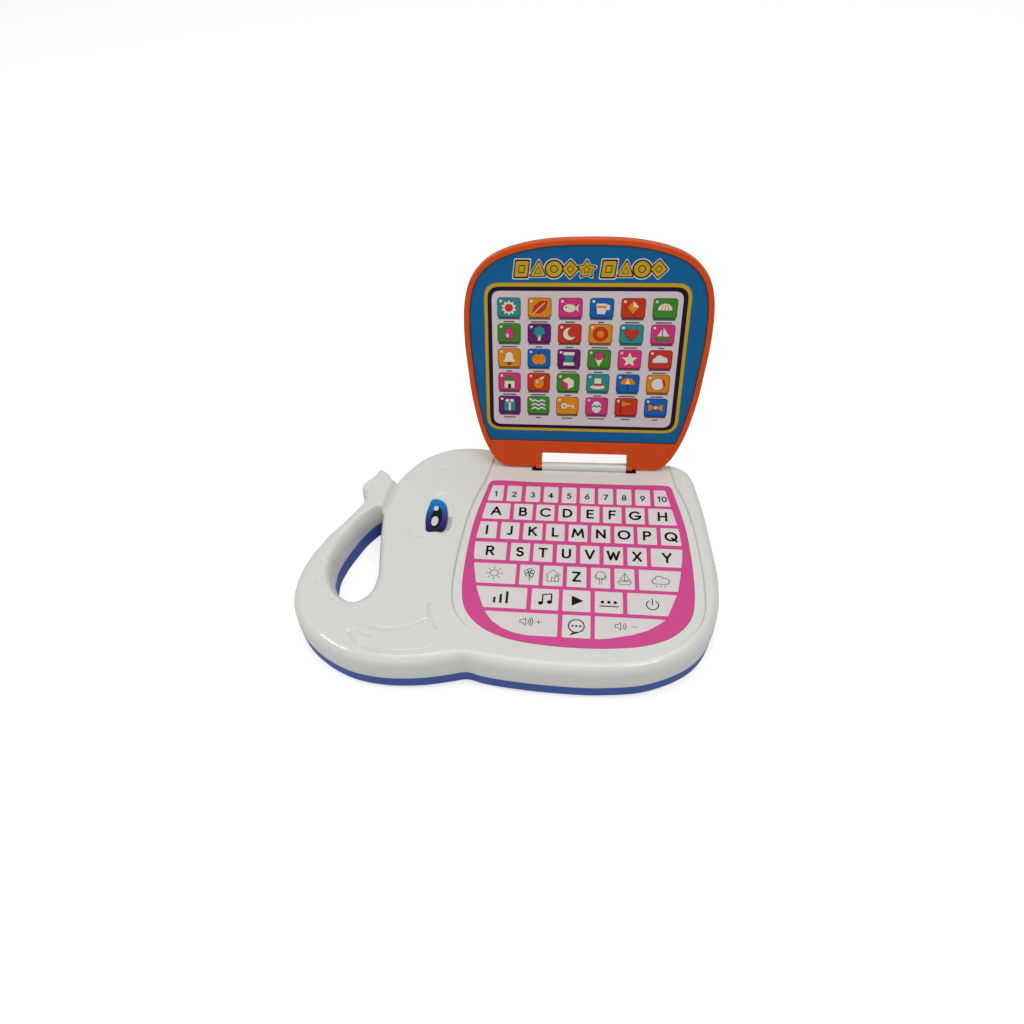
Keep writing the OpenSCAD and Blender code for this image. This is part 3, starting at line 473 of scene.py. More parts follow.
def casing_object():
    line = resample(recess_line, 1.6, False)
    line = line[inside(line, moved_in(body_loop, 0.3))]
    lines = [(offset_line(line, d), False)
             for d in (0.9, 0.55, 0.42, 0.3, 0.18, 0.0, -0.14, -0.36, -0.72, -1.3)]
    for line, w, _ in relief_lines:
        lines += [(offset_line(line, w * k / 4), False) for k in range(-4, 5)]
    for x0, x1 in SLOTS:
        lines += [(rectangle(x0, AXIS_Y - SLOT_HALF, x1, AXIS_Y + SLOT_HALF, g), True)
                  for g in (0.06, 0.0)]
    v, f, _ = slab([body_loop, hole_loop], casing_extra(), casing_height,
                   [(0.0, 13.0), (0.0, 10.5), (0.08, 10.16), (0.35, 10.02), (2.0, 10.02),
                    (2.05, 13.0), (2.6, 18.0)], lines)
    mid = np.array([v[list(t)].mean(0) for t in f])
    # The hinge slots' floors and walls take the painted shade.
    dark = (in_slot(mid) > -0.07) & (mid[:, 2] > 20) & (mid[:, 2] < 24.3)
    return v, f, dark.tolist()


v, f, index = casing_object()
new_object("white_casing", v, f, [WHITE, SHADOW], "base", 62, index, "top_shell")


def rod(name, x0, x1, r, mat, body, bevel=0.35):
    """A rod on the hinge's axis with eased ends."""
    seg = 48
    prof = [(x0, r * 0.35), (x0, r - bevel), (x0 + bevel * 0.3, r - bevel * 0.3),
            (x0 + bevel, r), (x1 - bevel, r), (x1 - bevel * 0.3, r - bevel * 0.3),
            (x1, r - bevel), (x1, r * 0.35)]
    verts = [(x, AXIS_Y + rr * math.cos(a), AXIS_Z + rr * math.sin(a))
             for x, rr in prof for a in [2 * math.pi * k / seg for k in range(seg)]]
    pairs = [(i * seg + k, i * seg + (k + 1) % seg) for i in range(len(prof) - 1)
             for k in range(seg)]
    faces = [(a, a + seg, b + seg, b) for a, b in pairs]
    faces.append(tuple(range(seg)))
    faces.append(tuple(reversed(range((len(prof) - 1) * seg, len(prof) * seg))))
    new_object(name, verts, faces, [mat], body, 50)


rod("hinge_barrel", NOTCH[0] + 0.3, NOTCH[1] - 0.3, 2.5, WHITE, "base")


# ---------------- blue casing
blue_loop = np.column_stack([moved_in(body_loop, 0.6), np.minimum(body_loop[:, 2], 3.0)])
SCREWS = [(62, -58), (66, 62), (-44, -74), (-106, -76), (-155, -45), (-100, 76), (-6, 75),
          (-131.5, 52), (-54, 22)]
DOOR = (-32.05, -63.8, 32.05, -7.7)
SPEAKER = (-92.0, -14.0)
GRILLE = [(SPEAKER[0] + 4.2 * r * math.cos(a), SPEAKER[1] + 4.2 * r * math.sin(a))
          for r in range(4) for a in [math.radians(k * 60 / max(1, r))
                                      for k in range(max(1, 6 * r))]]
# Round recesses in the lower face: centre, radius, depth and sides.
PITS = [(x, y, 3.04, 4.0, 28) for x, y in SCREWS] + [(x, y, 1.34, 1.9, 16) for x, y in GRILLE]


def circle(cx, cy, r, n):
    a = np.linspace(0, 2 * math.pi, n, endpoint=False)
    return np.column_stack([cx + r * np.cos(a), cy + r * np.sin(a)])


def blue_depth(v):
    """Height of the lower face, measured downwards from the joint line to the floor."""
    d, e = nearest(v, blue_loop)
    z = roll(d / e, 3.0)
    for cx, cy, radius, deep, _ in PITS:
        r = np.hypot(v[:, 0] - cx, v[:, 1] - cy)
        z = np.maximum(z, deep * smooth((radius - r) / 0.06))
    x0, y0, x1, y1 = DOOR
    inb = np.minimum.reduce([v[:, 0] - x0, x1 - v[:, 0], v[:, 1] - y0, y1 - v[:, 1]])
    return np.maximum(z, 2.2 * smooth((inb + 0.05) / 0.06))


def blue_object():
    pts = [moved_in(blue_loop, s * blue_loop[:, 2]) for s in ROLL_STEPS + (1.3,)]
    pts.append(grid(-170, 84, -90, 96, 6.0))
    lines = []
    for cx, cy, r, _, n in PITS:
        lines += [(circle(cx, cy, r + 0.01, n), True), (circle(cx, cy, r - 0.07, n), True)]
    lines += [(rectangle(*DOOR, g), True) for g in (0.06, 0.0)]
    v, f, top = slab([blue_loop, hole_loop], between(np.vstack(pts), blue_loop, 0.01, 0.4),
                     lambda p: -blue_depth(p), [(0.0, -4.0), (0.0, -9.5), (0.06, -9.8),
                                                (0.3, -9.96), (2.2, -9.96), (2.4, -6.0)], lines)
    mid = np.array([v[list(t)].mean(0) for t in f])
    # The floors of the grille's pits take the painted shade.
    dark = [int(k < top and c[2] < -1.0
                and min(math.hypot(c[0] - x, c[1] - y) for x, y in GRILLE) < 1.2)
            for k, c in enumerate(mid)]
    return v * [1, 1, -1], [t[::-1] for t in f], dark


v, f, index = blue_object()
new_object("blue_casing", v, f, [BLUE, SHADOW], "base", 45, index, "bottom_shell")


# ---------------- lid
def lid_place(v):
    """From the closed lid's own frame (y along it, z out of its back) to its open place."""
    v, a = np.array(v, float), -LID_OPEN
    y = v[:, 1] * math.cos(a) - v[:, 2] * math.sin(a)
    z = v[:, 1] * math.sin(a) + v[:, 2] * math.cos(a)
    return np.column_stack([v[:, 0], y + AXIS_Y, z + AXIS_Z])


def lid_outline():
    """The lid's outline with its notch, anticlockwise."""
    foot, r, ease = FOOT_DROP, 1.0, 0.3
    pts = [tuple(p[:2]) for p in lid_loop if p[1] < foot - 0.25]
    pts.sort(key=lambda p: math.atan2(p[0], -(p[1] + 60)))
    pts.append((46.1, foot))
    for x, out in ((NOTCH[1], 1), (NOTCH[0], -1)):
        side = [(x + out * r, foot), (x + out * ease, foot - ease), (x, foot - r),
                (x, -NOTCH_H + r), (x - out * ease, -NOTCH_H + ease), (x - out * r, -NOTCH_H)]
        pts += side[::out]
    return resample(np.array(pts + [(-44.9, foot)]), 1.1)


outline = lid_outline()
SHEET_TOP, BAND, RIM_EASE = 3.4, 18.5, 0.9


def sheet_loop(inset):
    lid = moved_in(lid_loop, inset)
    keep = lid[lid[:, 1] < -BAND]
    keep = sorted(map(tuple, keep), key=lambda p: math.atan2(p[0], -(p[1] + 60)))
    return resample(np.array(keep + [(keep[-1][0] - 0.1, -BAND), (keep[0][0] + 0.1, -BAND)]), 1.1)


rim_loop = sheet_loop(SHEET_TOP)


def front_height(v):
    """The lid's front, measured towards the user."""
    d = nearest(v, outline)[0]
    z = -roll(d / RIM_EASE, RIM_EASE)
    s = signed(v, rim_loop)
    sunk = -1.0 + 0.85 * smooth((s + 0.04) / 0.16) + 0.15 * smooth(s / 0.5)
    return np.where(s < 0.5, np.minimum(z, sunk), z)


def lean(v):
    """The foot's back slopes up, so that it clears the recess floor as the lid turns."""
    v = np.array(v)
    back = np.maximum(v[:, 2], 0)
    v[:, 1] -= LEAN * back * np.clip(1 + (v[:, 1] - FOOT_DROP) / 14, 0, 1)
    return v


def lid_front_object():
    pts = [moved_in(outline, s) for s in (0.03, 0.12, 0.27, 0.5, 0.75, 0.95, 1.5)]
    pts.append(grid(-74, 74, -150, 2, 5.0))
    lines = [(moved_in(rim_loop, d), True) for d in (0.7, 0.04, -0.12, -0.3, -0.55, -0.9)]
    v, f, _ = slab([outline], between(np.vstack(pts), outline, 0.015), front_height,
                   [(0.0, -1.4), (0.0, -2.75), (0.06, -2.93), (0.16, -3.0)], lines)
    return lean(v * [1, 1, -1]), [t[::-1] for t in f]


def back_height(v):
    d = nearest(v, outline)[0]
    notch = np.minimum.reduce([v[:, 0] - NOTCH[0] + 9, NOTCH[1] + 9 - v[:, 0],
                               v[:, 1] + NOTCH_H + 9]) / 6
    edge = 4.0 - 2.8 * smooth(notch)
    field = smooth((signed(v, back_field) + 0.1) / 0.9)
    return 9.0 - roll(d / edge, edge) - 0.5 * field * smooth(d / 4.0)


back_field = resample(sheet_loop(12.0) * [1, 0.97], 1.4)


def lid_back_object():
    pts = [moved_in(outline, s) for s in (0.02, 0.12, 0.34, 0.7, 1.15, 1.7, 2.3, 3.0, 3.6, 4.1,
                                          5.0)]
    pts.append(grid(-74, 74, -150, 2, 3.0))
    pts += [moved_in(back_field, d) for d in (-0.9, -0.6, -0.3, 0.0, 0.3)]
    v, f, _ = slab([outline], between(np.vstack(pts), outline, 0.012), back_height,
                   [(0.0, 4.6), (0.0, 3.3), (0.06, 3.1), (0.16, 3.02)])
    return lean(v), f


for name, (v, f), node in (("lid_front", lid_front_object(), "lid_frame"),
                           ("lid_back", lid_back_object(), "lid_cover")):
    new_object(name, lid_place(v), f, [ORANGE], "lid", 55, node=node)
for side, x0, x1 in (("left", NOTCH[0] - 3.6, NOTCH[0]), ("right", NOTCH[1], NOTCH[1] + 3.6)):
    rod("knuckle_" + side, x0, x1, 1.7, ORANGE, "lid", 0.25)


# ---------------- printed shapes
def print_shapes(name, shapes, place, body, mats, step=0.02):
    """Lays flat printed shapes, (points, ink, layer), on a surface, each as one face."""
    verts, faces = [], []
    for pts, _, layer in shapes:
        faces.append(range(len(verts), len(verts) + len(pts)))
        verts += [(p[0], p[1], layer * step) for p in pts]
    new_object(name, place(np.array(verts)), faces, mats, body,
               index=[mats.index(ink) for _, ink, _ in shapes])


SHARP_TURN = 18     # degrees


def rounded(poly, r, n=5):
    """The polygon with its sharper corners rounded."""
    p = np.array(poly, float)
    out = []
    for a, b, c in zip(np.roll(p, 1, 0), p, np.roll(p, -1, 0)):
        u, w = a - b, c - b
        lu, lw = np.linalg.norm(u), np.linalg.norm(w)
        if lu < 1e-6 or lw < 1e-6:
            continue
        u, w = u / lu, w / lw
        turn = math.pi - math.acos(max(-1, min(1, float(u @ w))))
        if math.degrees(turn) < SHARP_TURN:
            out.append(b)
            continue
        t = min(r * math.tan(turn / 2), 0.45 * lu, 0.45 * lw)
        out += [(1 - s) ** 2 * (b + u * t) + 2 * s * (1 - s) * b + s * s * (b + w * t)
                for s in [k / n for k in range(n + 1)]]
    return np.array(out)


def box(x0, y0, x1, y1, r):
    return rounded(rectangle(x0, y0, x1, y1), r, 6)


def clip(poly, fence):
    """The part of the polygon inside an anticlockwise convex fence."""
    out = [tuple(p) for p in poly]
    for a, b in zip(fence, np.roll(fence, -1, 0)):
        nx, ny = -(b[1] - a[1]), b[0] - a[0]
        res = []
        for p, q in zip(out[-1:] + out, out):
            sp = (p[0] - a[0]) * nx + (p[1] - a[1]) * ny
            sq = (q[0] - a[0]) * nx + (q[1] - a[1]) * ny
            if (sp >= 0) != (sq >= 0):
                t = sp / (sp - sq)
                res.append((p[0] + t * (q[0] - p[0]), p[1] + t * (q[1] - p[1])))
            if sq >= 0:
                res.append(q)
        out = res
    return np.array(out)


def ellipse(cx, cy, rx, ry=None, turn=0, n=28, a0=0, a1=360):
    a = np.radians(np.linspace(a0, a1, n, endpoint=(a1 - a0 < 360)))
    x, y = rx * np.cos(a), (ry or rx) * np.sin(a)
    t = math.radians(turn)
    return np.column_stack([cx + x * math.cos(t) - y * math.sin(t),
                            cy + x * math.sin(t) + y * math.cos(t)])


def star(cx, cy, r, r2, n=5):
    a = np.radians(90 + np.arange(2 * n) * 180 / n)
    rr = np.where(np.arange(2 * n) % 2 == 0, r, r2)
    return np.column_stack([cx + rr * np.cos(a), cy + rr * np.sin(a)])


def stroke(points, w, closed=False, square=False):
    """A pen stroke of width w along the points, as separate quads and joints."""
    p = np.array(points, float)
    segs = []
    n = len(p)
    for i in range(n if closed else n - 1):
        a, b = p[i], p[(i + 1) % n]
        d = b - a
        length = np.linalg.norm(d)
        if length < 1e-6:
            continue
        d /= length
        if square and i == 0:
            a = a - d * w / 2
        if square and i == n - 2:
            b = b + d * w / 2
        s = np.array([-d[1], d[0]]) * w / 2
        segs.append(np.array([a - s, b - s, b + s, a + s]))
    return segs + [ellipse(x, y, w / 2, n=10) for x, y in (p[1:-1] if square else p)]


def arc(cx, cy, rx, ry, a0, a1, n=15):
    a = np.radians(np.linspace(a0, a1, n))
    return [(cx + rx * math.cos(t), cy + ry * math.sin(t)) for t in a]


# Plain block letters and digits as pen strokes, one unit high.
BOWL = [(0, 0), (0, 1), (0.3, 1)] + arc(0.3, 0.74, 0.27, 0.26, 90, -90) + [(0, 0.48)]
LETTERS = {
    "A": [[(0, 0), (0.43, 1), (0.86, 0)], [(0.14, 0.32), (0.72, 0.32)]],
    "B": [[(0.3, 0.53), (0, 0.53), (0, 1), (0.3, 1)] + arc(0.3, 0.765, 0.23, 0.235, 90, -90),
          [(0, 0.53), (0, 0), (0.34, 0)] + arc(0.34, 0.265, 0.26, 0.265, -90, 90)],
    "C": [arc(0.5, 0.5, 0.5, 0.5, 46, 314)],
    "D": [[(0, 0.2), (0, 1), (0.26, 1)] + arc(0.26, 0.5, 0.48, 0.5, 90, -90) + [(0, 0), (0, 0.5)]],
    "E": [[(0.5, 1), (0, 1), (0, 0), (0.5, 0)], [(0, 0.52), (0.46, 0.52)]],
    "F": [[(0.5, 1), (0, 1), (0, 0)], [(0, 0.52), (0.44, 0.52)]],
    "G": [arc(0.5, 0.5, 0.5, 0.5, 48, 354) + [(0.99, 0.44), (0.58, 0.44)]],
    "H": [[(0, 0), (0, 1)], [(0.7, 0), (0.7, 1)], [(0, 0.52), (0.7, 0.52)]],
    "I": [[(0, 0), (0, 1)]],
    "J": [[(0.38, 1), (0.38, 0.22)] + arc(0.17, 0.2, 0.21, 0.2, 0, -120)],
    "K": [[(0, 0), (0, 1)], [(0.58, 1), (0.04, 0.46)], [(0.2, 0.62), (0.64, 0)]],
    "L": [[(0, 1), (0, 0), (0.46, 0)]],
    "M": [[(0, 0), (0.13, 1), (0.5, 0.2), (0.87, 1), (1, 0)]],
    "N": [[(0, 0), (0, 1), (0.72, 0), (0.72, 1)]],
    "O": [arc(0.5, 0.5, 0.5, 0.5, 0, 380, 26)],
    "P": [BOWL],
    "Q": [arc(0.5, 0.5, 0.5, 0.5, 0, 380, 26), [(0.6, 0.28), (0.98, -0.08)]],
    "R": [BOWL, [(0.3, 0.48), (0.6, 0)]],
    "S": [arc(0.29, 0.76, 0.24, 0.24, 40, 270) + arc(0.29, 0.26, 0.27, 0.26, 90, -145)],
    "T": [[(0, 1), (0.64, 1)], [(0.32, 1), (0.32, 0)]],
    "U": [[(0, 1), (0, 0.32)] + arc(0.33, 0.33, 0.33, 0.33, 180, 360) + [(0.66, 1)]],
    "V": [[(0, 1), (0.37, 0), (0.74, 1)]],
    "W": [[(0, 1), (0.27, 0), (0.53, 0.85), (0.79, 0), (1.06, 1)]],
    "X": [[(0, 0), (0.64, 1)], [(0, 1), (0.64, 0)]],
    "Y": [[(0, 1), (0.34, 0.45), (0.68, 1)], [(0.34, 0.45), (0.34, 0)]],
    "Z": [[(0, 1), (0.58, 1), (0, 0), (0.6, 0)]],
    "1": [[(0, 0.82), (0.2, 1), (0.2, 0)]],
    "2": [arc(0.27, 0.72, 0.26, 0.28, 165, -40) + [(0, 0), (0.54, 0)]],
    "3": [arc(0.24, 0.75, 0.22, 0.25, 145, -90) + arc(0.24, 0.25, 0.27, 0.25, 90, -145)],
    "4": [[(0.4, 0), (0.4, 1), (0, 0.3), (0.58, 0.3)]],
    "5": [[(0.48, 1), (0.12, 1), (0.06, 0.56)] + arc(0.24, 0.31, 0.28, 0.31, 115, -145)],
    "6": [[(0.42, 1), (0.06, 0.42)] + arc(0.29, 0.3, 0.27, 0.3, 155, 515, 22)],
    "7": [[(0, 1), (0.54, 1), (0.16, 0)]],
    "8": [arc(0.27, 0.76, 0.21, 0.24, -90, 270, 20), arc(0.27, 0.26, 0.27, 0.26, 90, 450, 22)],
    "9": [[(0.14, 0), (0.5, 0.58)] + arc(0.27, 0.7, 0.27, 0.3, -25, 335, 22)],
    "0": [arc(0.3, 0.5, 0.3, 0.5, 0, 380, 26)]}


def lettering(text, high, w):
    """The characters of a short text as filled faces, centred."""
    out, x, gap = [], 0.0, 0.16 * high
    for c in text:
        strokes = [np.array(s, float) * (high - w) for s in LETTERS[c]]
        xs = np.vstack(strokes)[:, 0]
        out += [q + [x - xs.min(), 0] for s in strokes for q in stroke(s, w, square=True)]
        x += np.ptp(xs) + w + gap
    return [q - [(x - w - gap) / 2, (high - w) / 2] for q in out]


# ---------------- keypad
# The outline of the keys, anticlockwise.
pad_fence = np.array([
    (-62.8, 7), (-62.4, -5), (-61.4, -13.5), (-58.4, -30), (-52.4, -46.8), (-47, -54.2),
    (-41.2, -58.6), (-34.1, -61.6), (-23.5, -63.4), (-9.6, -63.9), (8.3, -63.6), (18.9, -62),
    (31, -58.9), (40.1, -55), (46.2, -50.6), (50.4, -46.8), (57.6, -27.5), (60.3, -12),
    (61.8, 0), (62.2, 7), (61.1, 21.5), (57.9, 39), (54.5, 57), (-56.1, 57), (-59, 39.5),
    (-61.1, 22.6)])
# Upper edge and height of each row, and the sides of its keys.
ROWS = [(56.3, 14.3), (39.8, 14.0), (23.2, 14.2), (6.0, 14.4), (-11.2, 15.5), (-29.1, 15.5),
        (-47.1, 15.8)]
KEYS = [
    [(-90, -48.6), (-46.3, -36.9), (-34.3, -24.9), (-22.6, -13.2), (-11.0, -1.6), (0.5, 9.9),
     (12.2, 21.6), (23.8, 33.2), (35.5, 44.9), (47.3, 90)],
    [(-90, -43.2), (-40.8, -28.9), (-26.6, -15.1), (-12.6, -1.1), (1.4, 13.0), (15.2, 26.7),
     (29.2, 40.9), (43.2, 90)],
    [(-90, -50.2), (-47.8, -36.2), (-33.7, -21.9), (-19.7, -8.2), (-5.8, 5.8), (8.1, 19.7),
     (22.1, 33.7), (36.0, 47.6), (50.0, 90)],
    [(-90, -42.8), (-40.4, -28.7), (-26.5, -14.9), (-12.4, -0.9), (1.6, 13.1), (15.6, 27.1),
     (29.6, 41.0), (43.4, 90)],
    [(-90, -35.9), (-33.7, -22.1), (-19.8, -8.2), (-5.9, 5.6), (8.1, 19.4), (21.8, 33.4),
     (35.9, 90)],
    [(-90, -28.3), (-25.7, -10.0), (-7.8, 8.1), (10.5, 26.4), (28.8, 90)],
    [(-90, -10.0), (-7.5, 8.3), (10.6, 90)],
]
LEGENDS = [list("123456789") + ["10"], list("ABCDEFGH"), list("IJKLMNOPQ"), list("RSTUVWXY"),
           ["sun", "flower", "house", "Z", "tree", "boat", "cloud"],
           ["bars", "notes", "play", "dots", "power"], ["louder", "ask", "quieter"]]
# Height and pen width of the characters, usual height of the drawings, and how far out a key
# reaches when the pad's outline cuts it.
DIGIT, LETTER, ICON_HIGH, CUT_KEY = (5.1, 0.86), (7.8, 1.42), 9.8, 80
PALE = ("sun", "flower", "house", "tree", "boat", "cloud", "louder", "quieter")
KEY_RINGS = [(0, 0.05), (0.08, 0.12), (0.3, 0.17), (0.75, 0.19)]
SIZES = {"louder": 7.4, "quieter": 7.4, "power": 9.4, "bars": 9.0, "notes": 9.0, "play": 10.5,
         "dots": 8.6, "ask": 10.5}
PEN = 0.42


def line(*points, w=PEN, closed=False):
    return points, w, closed


def ring(x, y, r, a0=0, a1=360, w=PEN):
    return ellipse(x, y, r, n=22, a0=a0, a1=a1), w, a1 - a0 >= 360


def dot(x, y, r, n=28):
    return ellipse(x, y, r, n=n), 0, True


def polar(r, degrees, y=0):
    a = math.radians(degrees)
    return r * math.cos(a), y + r * math.sin(a)


# Plain drawings for keys, in units of their height: points, pen width in mm (none for a filled
# shape) and whether the line closes.
SPEAKING = [line((-0.62, -0.14), (-0.42, -0.14), (-0.2, -0.34), (-0.2, 0.34), (-0.42, 0.14),
                 (-0.62, 0.14), closed=True)] + [ring(-0.18, 0, r, -50, 50) for r in (0.22, 0.38)]
ICONS = {
    "sun": [ring(0, 0, 0.24)] + [line(polar(0.34, a), polar(0.5, a)) for a in range(0, 360, 45)],
    "flower": [ring(*polar(0.19, a, 0.16), 0.13) for a in range(90, 450, 72)]
    + [ring(0, 0.16, 0.08), line((0, -0.06), (0.02, -0.5)),
       line((0.01, -0.3), (0.16, -0.2), (0.2, -0.12))],
    "house": [line((-0.34, 0.05), (-0.34, -0.45), (0.34, -0.45), (0.34, 0.05)),
              line((-0.45, 0.02), (0, 0.45), (0.45, 0.02)),
              line((-0.08, -0.45), (-0.08, -0.15), (0.12, -0.15), (0.12, -0.45)),
              ring(0.2, 0.0, 0.07)],
    "tree": [ring(0, 0.2, 0.28), ring(-0.17, 0.05, 0.16, 120, 300),
             ring(0.17, 0.05, 0.16, -120, 60), line((-0.06, -0.08), (-0.07, -0.5)),
             line((0.06, -0.08), (0.07, -0.5))],
    "boat": [line((-0.42, -0.2), (-0.28, -0.44), (0.28, -0.44), (0.42, -0.2), closed=True),
             line((0, -0.2), (0, 0.46), (0.32, -0.1), (0, -0.1)),
             line((-0.06, 0.3), (-0.28, -0.1), (-0.06, -0.1))],
    "cloud": [ring(-0.3, -0.08, 0.2, 80, 270), ring(-0.06, 0.08, 0.26, 20, 160),
              ring(0.28, -0.04, 0.24, -90, 110), line((-0.3, -0.28), (0.28, -0.28))]
    + [line((x, -0.4), (x - 0.04, -0.5)) for x in (-0.2, 0.04, 0.26)],
    "bars": [line((x, -0.42), (x, y), w=1.4) for x, y in ((-0.4, -0.07), (0, 0.18), (0.4, 0.43))],
    "notes": [dot(-0.28, -0.32, 0.15), dot(0.28, -0.22, 0.15),
              line((-0.15, -0.32), (-0.15, 0.36), (0.41, 0.46), (0.41, -0.22), w=0.8)],
    "play": [([(-0.26, -0.36), (0.38, 0), (-0.26, 0.36)], 0, True)],
    "dots": [dot(x, 0, 0.12) for x in (-0.42, 0, 0.42)] + [line((-0.6, -0.34), (0.6, -0.34),
                                                               w=0.7)],
    "power": [ring(0, -0.04, 0.36, 125, 415, w=0.6), line((0, 0.42), (0, -0.02), w=0.6)],
    "louder": SPEAKING + [ring(-0.18, 0, 0.54, -50, 50), line((0.6, 0), (1.0, 0)),
                          line((0.8, 0.2), (0.8, -0.2))],
    "quieter": SPEAKING + [line((0.62, 0), (1.05, 0))],
    "ask": [ring(0, 0.02, 0.42, w=0.7), line((-0.14, -0.4), (-0.3, -0.56), (0.06, -0.42), w=0.7)]
    + [dot(x, 0.02, 0.065, 12) for x in (-0.2, 0, 0.2)]}


def icon(name, s):
    """A key's drawing, s high: closed outlines to fill."""
    out = []
    for points, w, closed in ICONS[name]:
        p = np.array(points) * s
        out += stroke(p, w, closed) if w else [p]
    return out


def keypad():
    # the pink film, with a crowned rim that eases into its pocket; its rim faces carry painted
    # shade
    n = len(pad_loop)
    verts, faces = cushion(pad_loop, [(0.0, -0.28), (0.03, -0.02), (0.36, 0.05), (0.8, 0.07)],
                           FLOOR_Z)
    new_object("keypad_film", verts, faces, [PINK, PAD_EDGE_SHADE], "base", 50,
               [1] * (2 * n) + [0] * (n + 1), "keypad_overlay")
    # the keys: low pillows with eased edges
    verts, faces, ink = [], [], []
    for (top, high), keys, names in zip(ROWS, KEYS, LEGENDS):
        for (x0, x1), name in zip(keys, names):
            raw = clip(rectangle(x0, top - high, x1, top), pad_fence)
            v, f = cushion(resample(rounded(raw, 0.35, 3), 0.9), KEY_RINGS, FLOOR_Z, len(verts))
            verts += v
            faces += f
            if x0 < -CUT_KEY or x1 > CUT_KEY:
                x0, x1 = raw[:, 0].min(), raw[:, 0].max()
            cx, cy = (x0 + x1) / 2, top - high / 2
            if name.isdigit():
                parts = lettering(name, *DIGIT)
                cy -= 0.9
            elif len(name) == 1:
                parts = lettering(name, *LETTER)
            else:
                parts = icon(name, SIZES.get(name, ICON_HIGH))
                if name in ("louder", "quieter"):
                    cx, cy = (-26.6 if name == "louder" else 26.4), cy + 1.6
            shade = GREY if name in PALE else BLACK
            ink += [(q + [cx, cy], shade, 1) for q in parts]
    new_object("keypad_keys", verts, faces, [KEY], "base", 60)
    print_shapes("keypad_legends", ink, lambda p: p + [0, 0, FLOOR_Z + 0.2], "base",
                 [BLACK, GREY])


keypad()


# ---------------- lid picture sheet
def inked(name, rgb, rough=0.34, vary=0.05, spec=0.2):
    return material(name, rgb, rough, vary, 0.03, 1500, spec=spec)


NAVY = inked("sheet_navy", (2, 98, 152))
GOLD = inked("gold_ink", (204, 166, 20), 0.36, 0.06)
PLUM = inked("plum_ink", (26, 12, 50), 0.4, 0.06, 0.15)
LILAC = inked("lilac_panel", (218, 206, 208), vary=0.03, spec=0.25)
SNOW = inked("white_ink", (226, 222, 224), vary=0.03, spec=0.5)
EDGE = material("sheet_edge", (16, 30, 66), 0.4, 0.05)
DUSK = material("tile_shadow", (96, 90, 104), 0.5, 0.05, spec=0.15)
HUES = {"orange": (228, 138, 8), "blue": (8, 98, 180), "green": (62, 138, 30),
        "pink": (216, 50, 126), "teal": (40, 142, 146), "purple": (106, 24, 106),
        "red": (202, 52, 26)}
DEEP = {k: inked("deep_" + k, tuple(x * 0.6 for x in c)) for k, c in HUES.items()}
TILE = {k: inked("tile_" + k, c) for k, c in HUES.items()}
CREAM = material("cream_ink", (236, 226, 196), 0.36, 0.03)
PARTNER = {"orange": "red", "red": "orange", "green": "pink", "pink": "green",
           "blue": "orange", "teal": "red", "purple": "teal"}
GROUNDS = """teal orange pink blue red green  green purple red orange teal pink
             orange blue purple green pink red  pink red green teal blue orange
             purple green orange pink red blue""".split()
# Where the tiles' rows lie, the first column and the distance between columns.
TILE_ROWS, TILE_X, TILE_PITCH = (108.9, 92.8, 76.6, 60.5, 44.4), -46.2, 18.33


def sheet_place(p):
    """From the open lid's face (x, height above the foot, towards the user) to its place."""
    p = np.array(p, float)
    return lid_place(np.column_stack([p[:, 0], -p[:, 1], -p[:, 2]]))


